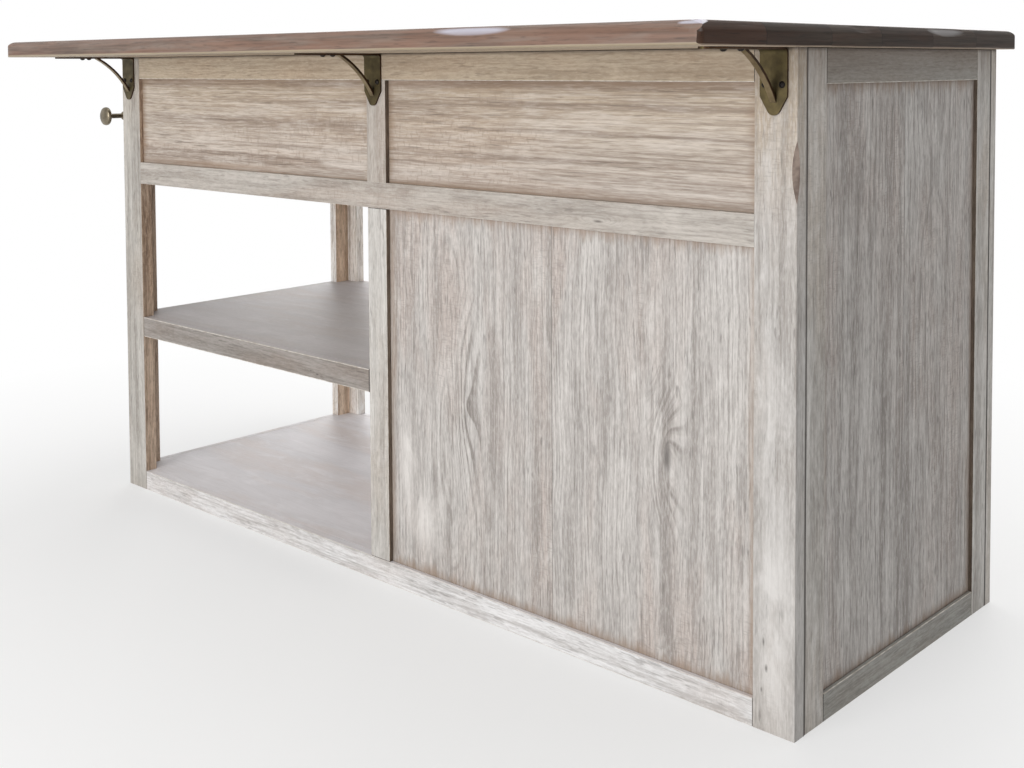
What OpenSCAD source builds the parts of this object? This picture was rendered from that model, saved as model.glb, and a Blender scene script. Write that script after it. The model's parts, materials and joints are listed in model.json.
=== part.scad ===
// Kitchen island unit: a frame-and-panel body with an open shelf bay, a cupboard bay, two drawers,
// and a worktop that overhangs the seating side on three bent metal brackets.
// Origin: the middle of the body's footprint, on the floor. +Y is the drawer side, -Y the seating side.

/* [Overall] */
// Length of the body, without the worktop's overhangs
body_w = 1576; // [1400:2:1800]
// Depth of the body, without the worktop's overhangs
body_d = 598; // [560:2:700]
// Height of the worktop's upper face above the floor
height = 914; // [880:1:950]

/* [Worktop] */
// Thickness of the worktop
top_t = 29; // [24:1:40]
// Overhang over the seating side
seat_overhang = 237; // [200:1:320]
// Overhang over the drawer side
front_overhang = 28; // [15:1:40]
// Overhang over each end
end_overhang = 20; // [15:1:40]
// Radius of the worn upper edge
arris_r = 14; // [6:1:18]
// Radius of the lower edge
under_arris_r = 4; // [2:1:6]
// Radius of the corners, seen from above
corner_r = 8; // [4:1:12]

/* [Frames] */
// Width of the seating side's corner stiles
stile_w = 62; // [55:1:80]
// Width of the drawer side's corner stiles
front_stile_w = 52; // [48:1:80]
// Width of the stiles between the two bays
mid_stile_w = 46; // [40:2:70]
// How far the seating side's middle stile stands off the middle, towards the open bay
mid_stile_off = 4; // [0:1:8]
// Width of the closed end frame's stiles
end_stile_w = 48; // [44:1:70]
// Width of the open end frame's stiles
open_end_stile_w = 36; // [34:1:60]
// Thickness of the frame on the seating side
back_t = 24; // [20:2:28]
// Thickness of the frame on the drawer side
front_t = 21; // [20:1:28]
// Thickness of the two end frames
end_t = 20; // [18:1:28]
// Height of the long top rails
top_rail_h = 44; // [40:1:60]
// Height of the end frames' top rails
end_top_rail_h = 47; // [40:1:60]
// Height of the rails under the drawers
mid_rail_h = 43; // [40:1:60]
// Height of the rails at the floor
foot_rail_h = 38; // [36:1:60]
// Height of the rails that edge the open shelf
shelf_rail_h = 40; // [36:1:50]
// Height of the drawers' zone between its two rails
apron_h = 169; // [140:1:220]
// Height of the open shelf's upper face above the floor
shelf_z = 356; // [300:1:420]

/* [Boards] */
// Thickness of the shelves, the bottom board and the partition
board_t = 20; // [16:2:24]
// Thickness of the panels that ride in the frames' grooves
panel_t = 8; // [6:1:9]

/* [Drawers and doors] */
// Gap round each drawer front and door
reveal = 2; // [1.5:0.5:3]
// Diameter of the knobs' heads
knob_d = 32; // [24:1:38]

/* [Brackets] */
// Width of the bent strip
strip_w = 40; // [30:1:50]
// Length of the strip's arm under the worktop
arm_l = 160; // [140:1:190]
// Length of the strip's plate down the stile
plate_l = 86; // [76:1:110]
// Thickness of the strip
strip_t = 3; // [3:0.5:5]
// Thickness of its strut
strut_t = 4; // [3:0.5:5]

/* [Towel bar] */
// Diameter of the bar
bar_d = 10; // [8:1:16]
// Distance from the end frame's face to the bar's axis
bar_reach = 63; // [54:1:70]
// Height of the bar above the floor
bar_z = 763; // [720:1:790]

/* [Hidden] */
$fn = 64;

// Colours
pale_wood = "#c4bcae";
beige_wood = "#b2a38f";
brown_wood = "#8c7364";
inner_wood = "#d6cbb8";
bronze = "#50441f";
pewter = "#7d7566";

// Faces and levels of the body
x_end = body_w / 2;
y_back = -body_d / 2;
y_front = body_d / 2;
body_top = height - top_t;
x_in = x_end - end_t;
y_back_in = y_back + back_t;
y_front_in = y_front - front_t;
x_bay_out = x_end - stile_w;
x_bay_in = mid_stile_w / 2;
x_front_out = x_end - front_stile_w;
x_mid = [-x_bay_in - mid_stile_off, x_bay_in - mid_stile_off];
top_rail_z = body_top - top_rail_h;
apron_z = top_rail_z - apron_h;
mid_rail_z = apron_z - mid_rail_h;
shelf_rail_z = shelf_z - shelf_rail_h;
y_closed = [y_back_in + end_stile_w, y_front_in - end_stile_w];
y_open = [y_back_in + open_end_stile_w, y_front_in - open_end_stile_w];

// Joints: stub tenons, grooves for the panels, housings for the shelves
tenon_l = 15;
tenon_t = panel_t;
shoulder = 10;
groove = 8;
tongue = 7;
housing = 6;
play = 0.3;
bearer_w = 60;

// A frame member is [near corner, far corner, axis it runs along, axis of its thickness]
function along_x(x0, x1, y0, y1, z, h) = [[x0, y0, z], [x1, y1, z + h], 0, 1];
function along_y(x0, x1, y0, y1, z, h) = [[x0, y0, z], [x1, y1, z + h], 1, 0];
function upright(x0, x1, y0, y1, z0, z1, thin) = [[x0, y0, z0], [x1, y1, z1], 2, thin];

function back_rail(x0, x1, z, h) = along_x(x0, x1, y_back, y_back_in, z, h);
function front_rail(x0, x1, z, h) = along_x(x0, x1, y_front_in, y_front, z, h);
function end_rails(x0, y, levels) = [for (l = levels) along_y(x0, x0 + end_t, y[0], y[1], l[0], l[1])];

back_top = back_rail(-x_bay_out, x_bay_out, top_rail_z, top_rail_h);
back_middle = back_rail(-x_bay_out, x_bay_out, mid_rail_z, mid_rail_h);
back_bottom = back_rail(-x_bay_out, x_bay_out, 0, foot_rail_h);
back_shelf = back_rail(-x_bay_out, x_mid[0], shelf_rail_z, shelf_rail_h);
back_upper = upright(x_mid[0], x_mid[1], y_back, y_back_in, apron_z, top_rail_z, 1);
back_lower = upright(x_mid[0], x_mid[1], y_back, y_back_in, foot_rail_h, mid_rail_z, 1);

front_top = front_rail(-x_front_out, x_front_out, top_rail_z, top_rail_h);
front_middle = front_rail(-x_front_out, x_front_out, mid_rail_z, mid_rail_h);
front_bottom = front_rail(-x_front_out, x_front_out, 0, foot_rail_h);
front_shelf = front_rail(-x_front_out, -x_bay_in, shelf_rail_z, shelf_rail_h);
front_upper = upright(-x_bay_in, x_bay_in, y_front_in, y_front, apron_z, top_rail_z, 1);
front_lower = upright(-x_bay_in, x_bay_in, y_front_in, y_front, foot_rail_h, mid_rail_z, 1);

end_top_z = body_top - end_top_rail_h;
closed_levels = [[0, foot_rail_h], [end_top_z, end_top_rail_h]];
open_levels = concat(closed_levels, [[shelf_rail_z, shelf_rail_h], [mid_rail_z, mid_rail_h]]);
right_rails = end_rails(x_in, y_closed, closed_levels);
left_rails = end_rails(-x_end, y_open, open_levels);

rails = concat([back_top, back_middle, back_bottom, back_shelf, front_top, front_middle,
    front_bottom, front_shelf], right_rails, left_rails);
middle_stiles = [back_upper, back_lower, front_upper, front_lower];

// A panel is [near corner, far corner of the opening it fills, axis of its thickness]
function back_panel(x0, x1, z0, z1) = [[x0, y_back, z0], [x1, y_back_in, z1], 1];
left_apron = back_panel(-x_bay_out, x_mid[0], apron_z, top_rail_z);
right_apron = back_panel(x_mid[1], x_bay_out, apron_z, top_rail_z);
cupboard_back = back_panel(x_mid[1], x_bay_out, foot_rail_h, mid_rail_z);
right_panel = [[x_in, y_closed[0], foot_rail_h], [x_end, y_closed[1], end_top_z], 0];
left_panel = [[-x_end, y_open[0], apron_z], [-x_in, y_open[1], end_top_z], 0];
panels = [left_apron, right_apron, cupboard_back, right_panel, left_panel];

// Brackets
bracket_x = [-x_end + 26, -9, x_bay_out + 29];
screw_gap = 25;
plate_screw_drop = 47;
arm_screw_out = 96;
bend_r = 8;
tip_r = 10;
taper_l = 24;
strut_w = 9;
strut_r = 165;
strut_out = 71;
strut_drop = 67;
screw_d = 3.8;
screw_hole_d = 4;
screw_l = 22;
screw_head_d = 9;

// Drawers
drawer_front_t = 20;
side_t = 14;
side_h = 140;
lap = 12;
drawer_back_y = y_back_in + 28;
drawer_bottom_t = 8;
drawer_bottom_z = 12;
runner_t = 30;
runner_w = 24;
guide_h = 20;
tails = 3;
tail_flare = 3;
knob_x = 175;
stud_d = 6;
stud_l = 12;

// Doors
door_t = 21;
door_stile_w = 55;
door_w = (x_front_out - x_bay_in - 3 * reveal) / 2;
door_z0 = foot_rail_h + reveal;
door_z1 = mid_rail_z - reveal;
hinge_l = 64;
hinge_edge = 70;
knuckle_r = 5;
hinge_pin_d = 5;
leaf_t = 1.6;
leaf_d = 16;
hinge_y = y_front + knuckle_r + 0.4;
hinge_z = [door_z0 + hinge_edge, door_z1 - hinge_edge - hinge_l];

// ---------- helpers ----------

// A box between two opposite corners
module block(a, b) {
    near = [for (i = [0:2]) min(a[i], b[i])];
    far = [for (i = [0:2]) max(a[i], b[i])];
    translate(near) cube(far - near);
}

// A bar through a member's length that sticks out as a stub tenon at each end
module tenon_bar(m) {
    near = [for (i = [0:2]) i == m[2] ? m[0][i] - tenon_l
        : i == m[3] ? (m[0][i] + m[1][i] - tenon_t) / 2 : m[0][i] + shoulder];
    far = [for (i = [0:2]) i == m[2] ? m[1][i] + tenon_l
        : i == m[3] ? (m[0][i] + m[1][i] + tenon_t) / 2 : m[1][i] - shoulder];
    block(near, far);
}

// A panel grown by an edge on all four sides, at mid thickness of its frame
module panel_slab(p, edge) {
    near = [for (i = [0:2]) i == p[2] ? (p[0][i] + p[1][i] - panel_t) / 2 : p[0][i] - edge];
    far = [for (i = [0:2]) i == p[2] ? (p[0][i] + p[1][i] + panel_t) / 2 : p[1][i] + edge];
    block(near, far);
}

// Everything that is let into the frames: panels, shelves and the bottom board
module let_in() {
    for (p = panels) panel_slab(p, groove);
    bottom_board_blank();
    middle_shelf_blank();
    cupboard_shelf_blank();
}

// The stub tenons alone
module tenons(m) {
    difference() {
        tenon_bar(m);
        block(m[0], m[1]);
    }
}

// A rail: its board with grooves and mortises, and its tenons
module rail(m) {
    difference() {
        block(m[0], m[1]);
        let_in();
        for (s = middle_stiles) tenon_bar(s);
    }
    tenons(m);
}

// A stile between two rails: the same, with mortises for the rails that meet it
module middle_stile(m) {
    difference() {
        block(m[0], m[1]);
        let_in();
        for (r = rails) tenon_bar(r);
    }
    tenons(m);
}

// A full-height stile with its mortises, grooves and screw holes
module corner_stile(x0, x1, y0, y1) {
    difference() {
        block([x0, y0, 0], [x1, y1, body_top]);
        let_in();
        for (r = rails) tenon_bar(r);
        bracket_screw_holes();
        post_screw_holes();
    }
}

// Mirrors a left-hand shape to the other side of a plane across X
module mirrored_about(x) {
    translate([x, 0, 0]) mirror([1, 0, 0]) translate([-x, 0, 0]) children();
}

// ---------- worktop ----------

// What rounding a corner takes away; the solid lies towards the signs of side
module corner_waste(r, side) {
    difference() {
        square(2 * r, center = true);
        translate(r * side) circle(r);
    }
}

// A slab's cross-section from a to b, with its upper and lower corners rounded
module edge_profile(a, b) {
    difference() {
        translate([a, body_top]) square([b - a, top_t]);
        for (side = [[a, 1], [b, -1]]) {
            translate([side[0], height]) corner_waste(arris_r, [side[1], -1]);
            translate([side[0], body_top]) corner_waste(under_arris_r, [side[1], 1]);
        }
    }
}

// A shallow hollow worn into an edge that runs along X, square to it
module worn_hollow(r, depth) {
    rotate([45, 0, 0]) translate([0, 0, r - depth]) rotate([90, 0, 0])
        cylinder(r = r, h = 120, center = true, $fn = 128);
}

module worktop() color(brown_wood) {
    top_x = x_end + end_overhang;
    top_y0 = y_back - seat_overhang;
    top_y1 = y_front + front_overhang;
    edge = arris_r * 0.3;
    difference() {
        intersection() {
            rotate([90, 0, 90]) translate([0, 0, -top_x]) linear_extrude(2 * top_x)
                edge_profile(top_y0, top_y1);
            translate([0, top_y1, 0]) rotate([90, 0, 0]) linear_extrude(top_y1 - top_y0)
                edge_profile(-top_x, top_x);
        }
        for (corner = [[-1, -1], [-1, 1], [1, -1], [1, 1]])
            translate([corner[0] * top_x, corner[1] < 0 ? top_y0 : top_y1, body_top - 1])
                linear_extrude(top_t + 2) corner_waste(corner_r, -corner);
        // along the seating edge, at the corner, and along the right end
        for (h = [[450, 900, 3], [top_x - 16, 60, 4], [-640, 300, 2]])
            translate([h[0], top_y0 + edge, height - edge]) worn_hollow(h[1], h[2]);
        for (h = [[85, 650, 3], [-160, 400, 2]])
            translate([top_x - edge, h[0], height - edge]) rotate([0, 0, 90]) worn_hollow(h[1], h[2]);
        bracket_screw_holes();
    }
}

// ---------- frame on the seating side ----------

module back_left_stile() color(pale_wood) corner_stile(-x_end, -x_bay_out, y_back, y_back_in);
module back_right_stile() color(pale_wood) difference() {
    corner_stile(x_bay_out, x_end, y_back, y_back_in);
    // the wane on its outer edge, under the worktop
    translate([x_end, y_back, apron_z + 56]) rotate([0, 90, 0]) worn_hollow(160, 5);
}
module back_upper_middle_stile() color(pale_wood) difference() {
    middle_stile(back_upper);
    bracket_screw_holes();
}
module back_lower_middle_stile() color(pale_wood) middle_stile(back_lower);
module back_top_rail() color(pale_wood) difference() {
    rail(back_top);
    bracket_screw_holes();
}
module back_middle_rail() color(pale_wood) rail(back_middle);
module back_bottom_rail() color(pale_wood) rail(back_bottom);
module back_shelf_rail() color(pale_wood) rail(back_shelf);
module back_left_apron_panel() color(beige_wood) difference() {
    panel_slab(left_apron, tongue);
    bracket_screw_holes();
}
module back_right_apron_panel() color(beige_wood) panel_slab(right_apron, tongue);
module back_cupboard_panel() color(pale_wood) panel_slab(cupboard_back, tongue);

// ---------- end frames ----------

module right_end_back_stile() color(pale_wood) corner_stile(x_in, x_end, y_back_in, y_closed[0]);
module right_end_front_stile() color(pale_wood) corner_stile(x_in, x_end, y_closed[1], y_front_in);
module right_end_rails() color(pale_wood) for (m = right_rails) rail(m);
module right_end_panel() color(pale_wood) panel_slab(right_panel, tongue);

module left_end_back_stile() color(pale_wood) corner_stile(-x_end, -x_in, y_back_in, y_open[0]);
module left_end_front_stile() color(pale_wood) corner_stile(-x_end, -x_in, y_open[1], y_front_in);
module left_end_rails() color(pale_wood) for (m = left_rails) rail(m);
module left_end_apron_panel() color(beige_wood) panel_slab(left_panel, tongue);

// ---------- frame on the drawer side ----------

module front_left_stile() color(pale_wood) corner_stile(-x_end, -x_front_out, y_front_in, y_front);
module front_right_stile() color(pale_wood) difference() {
    corner_stile(x_front_out, x_end, y_front_in, y_front);
    hinge_recesses();
}
module front_middle_stiles() color(pale_wood) difference() {
    for (m = [front_upper, front_lower]) middle_stile(m);
    hinge_recesses();
}
module front_top_rail() color(pale_wood) rail(front_top);
module front_middle_rail() color(pale_wood) rail(front_middle);
module front_bottom_rail() color(pale_wood) rail(front_bottom);
module front_shelf_rail() color(pale_wood) rail(front_shelf);

// ---------- boards inside ----------

// The posts' footprints, which the boards are notched round
module posts() {
    for (side = [-1, 1]) {
        block([side * x_end, y_back, 0], [side * x_bay_out, y_back_in, body_top]);
        block([side * x_end, y_front_in, 0], [side * x_front_out, y_front, body_top]);
    }
    for (end = [[-x_end, y_open], [x_in, y_closed]]) {
        block([end[0], y_back_in, 0], [end[0] + end_t, end[1][0], body_top]);
        block([end[0], end[1][1], 0], [end[0] + end_t, y_front_in, body_top]);
    }
}

module bottom_board_blank() {
    difference() {
        block([-x_in - housing, y_back_in - housing, foot_rail_h - board_t],
            [x_in + housing, y_front_in + housing, foot_rail_h]);
        posts();
    }
}

module middle_shelf_blank() {
    difference() {
        block([-x_in - housing, y_back_in - housing, shelf_z - board_t],
            [-board_t / 2 + housing, y_front_in + housing, shelf_z]);
        posts();
        block([x_mid[0], y_back, 0], [x_mid[1], y_back_in, body_top]);
        block([-x_bay_in, y_front_in, 0], [x_bay_in, y_front, body_top]);
    }
}

module cupboard_shelf_blank() {
    block([board_t / 2 - housing, y_back_in, shelf_z - board_t],
        [x_in, y_front_in - 24, shelf_z]);
}

module bottom_bearer() color(inner_wood)
    block([-bearer_w / 2, y_back_in, 0], [bearer_w / 2, y_front_in, foot_rail_h - board_t]);
module bottom_board() color(inner_wood) bottom_board_blank();
module middle_shelf() color(inner_wood) middle_shelf_blank();
module cupboard_shelf() color(inner_wood) cupboard_shelf_blank();

module bay_partition() color(inner_wood) difference() {
    block([-board_t / 2, y_back_in, foot_rail_h], [board_t / 2, y_front_in, body_top]);
    middle_shelf_blank();
    cupboard_shelf_blank();
}

// An L-shaped runner from the wall at x0 towards the drawer, whose side starts at x1
module runner(x0, x1) {
    inward = sign(x1 - x0);
    guide_x = x1 - inward;
    translate([0, y_front_in, 0]) rotate([90, 0, 0]) linear_extrude(y_front_in - y_back_in)
        polygon([[x0, apron_z - runner_t], [x1 + inward * runner_w, apron_z - runner_t],
            [x1 + inward * runner_w, apron_z], [guide_x, apron_z],
            [guide_x, apron_z + guide_h], [x0, apron_z + guide_h]]);
}

module drawer_runners() color(inner_wood) for (side = [-1, 1]) {
    runner(side * x_in, side * (x_front_out - reveal));
    runner(side * board_t / 2, side * (x_bay_in + reveal));
}

// ---------- brackets ----------

// Points along an arc, both ends included
function arc(centre, r, from, to, steps = 8) = [for (i = [0:steps])
    let (a = from + (to - from) * i / steps) centre + r * [cos(a), sin(a)]];

// The strip seen from its side: the arm along +X, the plate along +Y, and the bend between them
function bent_profile(t) = concat(
    [[arm_l, 0]], arc([bend_r, bend_r], bend_r, 270, 180), [[0, plate_l], [t, plate_l]],
    arc([bend_r, bend_r], bend_r - t, 180, 270), [[arm_l, t]]);

// What a strip's end loses: all beside two straight tapers that run tangent into a rounded tip
module tip_waste(length) {
    start = [strip_w / 2, length - taper_l];
    centre = [0, length - tip_r];
    reach = norm(centre - start);
    heading = atan2(centre[1] - start[1], centre[0] - start[0]) - asin(tip_r / reach);
    translate([0, 0, -1]) linear_extrude(strip_t + 2) difference() {
        translate([-strip_w, start[1]]) square([2 * strip_w, taper_l + 1]);
        polygon(concat([start - [0, 1], start], arc(centre, tip_r, heading - 90, 270 - heading),
            [[-start[0], start[1]], [-start[0], start[1] - 1]]));
    }
}

// Places a shape made in the bracket's own frame: +Y out along the arm, +Z down the plate
module at_brackets() {
    for (x = bracket_x) translate([x, y_back, body_top]) rotate([180, 0, 0]) children();
}

// Places a shape made along +Z, from the metal's face into the wood, at every screw
module at_bracket_screws() {
    at_brackets() for (x = [-screw_gap / 2, screw_gap / 2]) {
        translate([x, strip_t, plate_screw_drop]) rotate([90, 0, 0]) children();
        translate([x, arm_screw_out, strip_t]) rotate([180, 0, 0]) children();
    }
}

module bracket_screw_holes() at_bracket_screws() cylinder(d = screw_hole_d, h = screw_l + 0.5);

module bracket_strips() color(bronze) difference() {
    at_brackets() difference() {
        rotate([90, 0, 90]) translate([0, 0, -strip_w / 2]) linear_extrude(strip_w)
            polygon(bent_profile(strip_t));
        tip_waste(arm_l);
        rotate([90, 0, 0]) mirror([0, 0, 1]) tip_waste(plate_l);
    }
    at_bracket_screws() translate([0, 0, -1]) cylinder(d = screw_hole_d, h = strip_t + 2);
}

// A flat bar bowed towards the corner, from the arm to the plate
module bracket_struts() color(bronze) at_brackets() {
    chord = [strut_out - strip_t, strut_drop - strip_t];
    middle = [strut_out + strip_t, strut_drop + strip_t] / 2;
    away = [chord[1], chord[0]] / norm(chord);
    centre = middle + away * sqrt(strut_r * strut_r - norm(chord) * norm(chord) / 4);
    rotate([90, 0, 90]) translate([0, 0, -strut_w / 2]) linear_extrude(strut_w) intersection() {
        translate(centre) difference() {
            circle(strut_r + strut_t / 2, $fn = 128);
            circle(strut_r - strut_t / 2, $fn = 128);
        }
        translate([strip_t, strip_t]) square([strut_out, strut_drop]);
    }
}

// Round-headed wood screws with a cross recess
module bracket_screws() color(bronze) at_bracket_screws() difference() {
    union() {
        cylinder(d = screw_d, h = screw_l);
        mirror([0, 0, 1]) intersection() {
            cylinder(d = screw_head_d, h = 3);
            translate([0, 0, -3.2]) sphere(d = 12.4);
        }
    }
    for (a = [0, 90]) rotate([0, 0, a]) translate([-2, -0.5, -4]) cube([4, 1, 2.2]);
}

// ---------- towel bar ----------

bar_x = -x_end - bar_reach;
bar_end = -y_back - 4;
post_y = [y_back_in + open_end_stile_w / 2, y_front_in - open_end_stile_w / 2];

module towel_bar() color(pewter) translate([bar_x, 0, bar_z]) rotate([90, 0, 0])
    cylinder(d = bar_d, h = 2 * bar_end, center = true);

// A turned post from its rosette on the stile to the ring round the bar
module towel_bar_posts() color(pewter) for (y = post_y) difference() {
    translate([-x_end, y, bar_z]) rotate([0, -90, 0]) union() {
        rotate_extrude() polygon([[0, 0], [17, 0], [17, 3], [15, 6], [10, 7.5], [7, 12], [6, 24],
            [6, 40], [8, 46], [9, 52], [0, bar_reach]]);
        translate([0, 0, bar_reach]) sphere(r = bar_d / 2 + 5);
        translate([0, 0, -stud_l]) cylinder(d = stud_d, h = stud_l + 1);
    }
    translate([bar_x, y, bar_z]) rotate([90, 0, 0]) cylinder(d = bar_d + 0.2, h = 40, center = true);
}

module post_screw_holes() {
    for (y = post_y) translate([-x_end - 1, y, bar_z]) rotate([0, 90, 0])
        cylinder(d = stud_d + 0.2, h = stud_l + 1.5);
}

// A thick button with a domed face on each end of the bar
module towel_bar_finials() color(pewter) for (side = [-1, 1])
    translate([bar_x, side * bar_end, bar_z]) rotate([-90 * side, 0, 0])
        rotate_extrude() polygon([[0, 0], [7, 0], [9, 2], [16, 2], [18.5, 4], [19, 7], [18, 10],
            [15, 12], [10, 13.2], [5, 13.8], [0, 14]]);

// ---------- drawers, drawn in the left bay and mirrored for the right one ----------

drawer_x0 = -x_front_out + reveal;
drawer_x1 = -x_bay_in - reveal;
drawer_mid = (drawer_x0 + drawer_x1) / 2;
front_z = [apron_z + reveal, top_rail_z - reveal];
box_z = apron_z + play;
face_y = y_front - drawer_front_t;

// A side board, with dovetails that lap into the front
module drawer_side_blank(x) {
    pitch = side_h / tails;
    tail_w = pitch * 0.6;
    translate([x, 0, box_z]) rotate([90, 0, 90]) linear_extrude(side_t) {
        translate([drawer_back_y, 0]) square([face_y - drawer_back_y, side_h]);
        for (i = [0:tails - 1]) translate([face_y, pitch * (i + 0.5)])
            polygon([[-1, -tail_w / 2], [0, -tail_w / 2], [lap, -tail_w / 2 - tail_flare],
                [lap, tail_w / 2 + tail_flare], [0, tail_w / 2], [-1, tail_w / 2]]);
    }
}

module drawer_side_blanks() {
    drawer_side_blank(drawer_x0);
    drawer_side_blank(drawer_x1 - side_t);
}

module drawer_bottom_slab() {
    block([drawer_x0 + side_t - housing, drawer_back_y, box_z + drawer_bottom_z],
        [drawer_x1 - side_t + housing, face_y + housing, box_z + drawer_bottom_z + drawer_bottom_t]);
}

module drawer_back_board() {
    block([drawer_x0 + side_t - housing, drawer_back_y + 8, box_z + drawer_bottom_z + drawer_bottom_t],
        [drawer_x1 - side_t + housing, drawer_back_y + 8 + side_t, box_z + side_h - 6]);
}

module drawer_front() {
    difference() {
        block([drawer_x0, face_y, front_z[0]], [drawer_x1, y_front, front_z[1]]);
        drawer_side_blanks();
        drawer_bottom_slab();
        for (x = [-knob_x, knob_x]) translate([drawer_mid + x, y_front, (front_z[0] + front_z[1]) / 2])
            knob_stud_hole();
    }
}

module drawer_sides() {
    difference() {
        drawer_side_blanks();
        drawer_bottom_slab();
        drawer_back_board();
    }
}

// A turned knob that stands on a face at y = 0, with its stud in the wood behind
module knob() {
    r = knob_d / 2;
    rotate([-90, 0, 0]) {
        rotate_extrude() polygon([[0, 0], [r * 0.6, 0], [r * 0.6, 2], [r * 0.4, 4], [r * 0.34, 9],
            [r * 0.45, 13], [r * 0.9, 16], [r, 19], [r, 21], [r * 0.88, 24], [r * 0.55, 26.5], [0, 27.5]]);
        translate([0, 0, -stud_l]) cylinder(d = stud_d, h = stud_l + 1);
    }
}

module knob_stud_hole() {
    rotate([90, 0, 0]) translate([0, 0, -1]) cylinder(d = stud_d + 0.2, h = stud_l + 1.5);
}

module drawer_knobs() {
    for (x = [-knob_x, knob_x]) translate([drawer_mid + x, y_front, (front_z[0] + front_z[1]) / 2])
        knob();
}

module left_drawer_front() color(pale_wood) drawer_front();
module left_drawer_sides() color(inner_wood) drawer_sides();
module left_drawer_back() color(inner_wood) drawer_back_board();
module left_drawer_bottom() color(inner_wood) drawer_bottom_slab();
module left_drawer_knobs() color(bronze) drawer_knobs();
module right_drawer_front() color(pale_wood) mirrored_about(0) drawer_front();
module right_drawer_sides() color(inner_wood) mirrored_about(0) drawer_sides();
module right_drawer_back() color(inner_wood) mirrored_about(0) drawer_back_board();
module right_drawer_bottom() color(inner_wood) mirrored_about(0) drawer_bottom_slab();
module right_drawer_knobs() color(bronze) mirrored_about(0) drawer_knobs();

// ---------- doors, drawn with the hinges on the right and mirrored for the left one ----------

door_x1 = x_front_out - reveal;
door_x0 = door_x1 - door_w;
door_y0 = y_front - door_t;
cupboard_mid = (x_bay_in + x_front_out) / 2;
door_knob_z = door_z1 - 120;

door_rails = [for (z = [door_z0, door_z1 - door_stile_w])
    along_x(door_x0 + door_stile_w, door_x1 - door_stile_w, door_y0, y_front, z, door_stile_w)];
door_opening = [[door_x0 + door_stile_w, door_y0, door_z0 + door_stile_w],
    [door_x1 - door_stile_w, y_front, door_z1 - door_stile_w], 1];

module door_stiles() {
    difference() {
        for (x = [door_x0, door_x1 - door_stile_w])
            block([x, door_y0, door_z0], [x + door_stile_w, y_front, door_z1]);
        for (r = door_rails) tenon_bar(r);
        panel_slab(door_opening, groove);
        translate([door_x0 + door_stile_w / 2, y_front, door_knob_z]) knob_stud_hole();
        for (z = hinge_z)
            block([door_x1 - leaf_t, y_front - leaf_d, z], [door_x1 + 1, y_front + 1, z + hinge_l]);
    }
}

module door_rail_boards() {
    for (r = door_rails) {
        difference() {
            block(r[0], r[1]);
            panel_slab(door_opening, groove);
        }
        tenons(r);
    }
}

module door_panel() {
    panel_slab(door_opening, tongue);
}

module door_knob() {
    translate([door_x0 + door_stile_w / 2, y_front, door_knob_z]) knob();
}

// The hinge's axis: it stands in front of the gap beside the door
hinge_x = x_front_out - reveal / 2;
knuckle_l = hinge_l / 3;

// A leaf let into the door's edge, with the middle knuckle
module door_hinge_leaf(z) {
    difference() {
        union() {
            block([door_x1 - leaf_t, y_front - leaf_d, z], [door_x1, y_front, z + hinge_l]);
            block([door_x1 - leaf_t, y_front - 1, z + knuckle_l + play],
                [door_x1, hinge_y, z + 2 * knuckle_l - play]);
            translate([hinge_x, hinge_y, z + knuckle_l + play])
                cylinder(r = knuckle_r, h = knuckle_l - 2 * play);
        }
        translate([hinge_x, hinge_y, z]) cylinder(d = hinge_pin_d + 2 * play, h = hinge_l);
    }
}

// A leaf let into the frame's edge, with the two outer knuckles, the pin and its ball tips
module frame_hinge_leaf(z) {
    block([x_front_out, y_front - leaf_d, z], [x_front_out + leaf_t, y_front, z + hinge_l]);
    for (k = [0, 2]) {
        knuckle_z = z + k * knuckle_l;
        block([x_front_out, y_front - 1, knuckle_z],
            [x_front_out + leaf_t, hinge_y, knuckle_z + knuckle_l]);
        translate([hinge_x, hinge_y, knuckle_z]) cylinder(r = knuckle_r, h = knuckle_l);
    }
    translate([hinge_x, hinge_y, z]) cylinder(d = hinge_pin_d, h = hinge_l);
    for (end = [0, hinge_l]) translate([hinge_x, hinge_y, z + end]) sphere(d = 7);
}

// Recesses for the leaves in the frame's stiles
module hinge_recesses() {
    for (side = [0, 1]) for (z = hinge_z) {
        near = side == 0 ? x_front_out - 1 : x_bay_in - leaf_t;
        far = side == 0 ? x_front_out + leaf_t : x_bay_in + 1;
        block([near, y_front - leaf_d, z], [far, y_front + 1, z + hinge_l]);
    }
}

module right_door_stiles() color(pale_wood) door_stiles();
module right_door_rails() color(pale_wood) door_rail_boards();
module right_door_panel() color(pale_wood) door_panel();
module right_door_knob() color(bronze) door_knob();
module right_door_hinge_leaves() color(bronze) for (z = hinge_z) door_hinge_leaf(z);
module left_door_stiles() color(pale_wood) mirrored_about(cupboard_mid) door_stiles();
module left_door_rails() color(pale_wood) mirrored_about(cupboard_mid) door_rail_boards();
module left_door_panel() color(pale_wood) mirrored_about(cupboard_mid) door_panel();
module left_door_knob() color(bronze) mirrored_about(cupboard_mid) door_knob();
module left_door_hinge_leaves() color(bronze) mirrored_about(cupboard_mid)
    for (z = hinge_z) door_hinge_leaf(z);
module hinge_frame_leaves() color(bronze) for (z = hinge_z) {
    frame_hinge_leaf(z);
    mirrored_about(cupboard_mid) frame_hinge_leaf(z);
}

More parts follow.
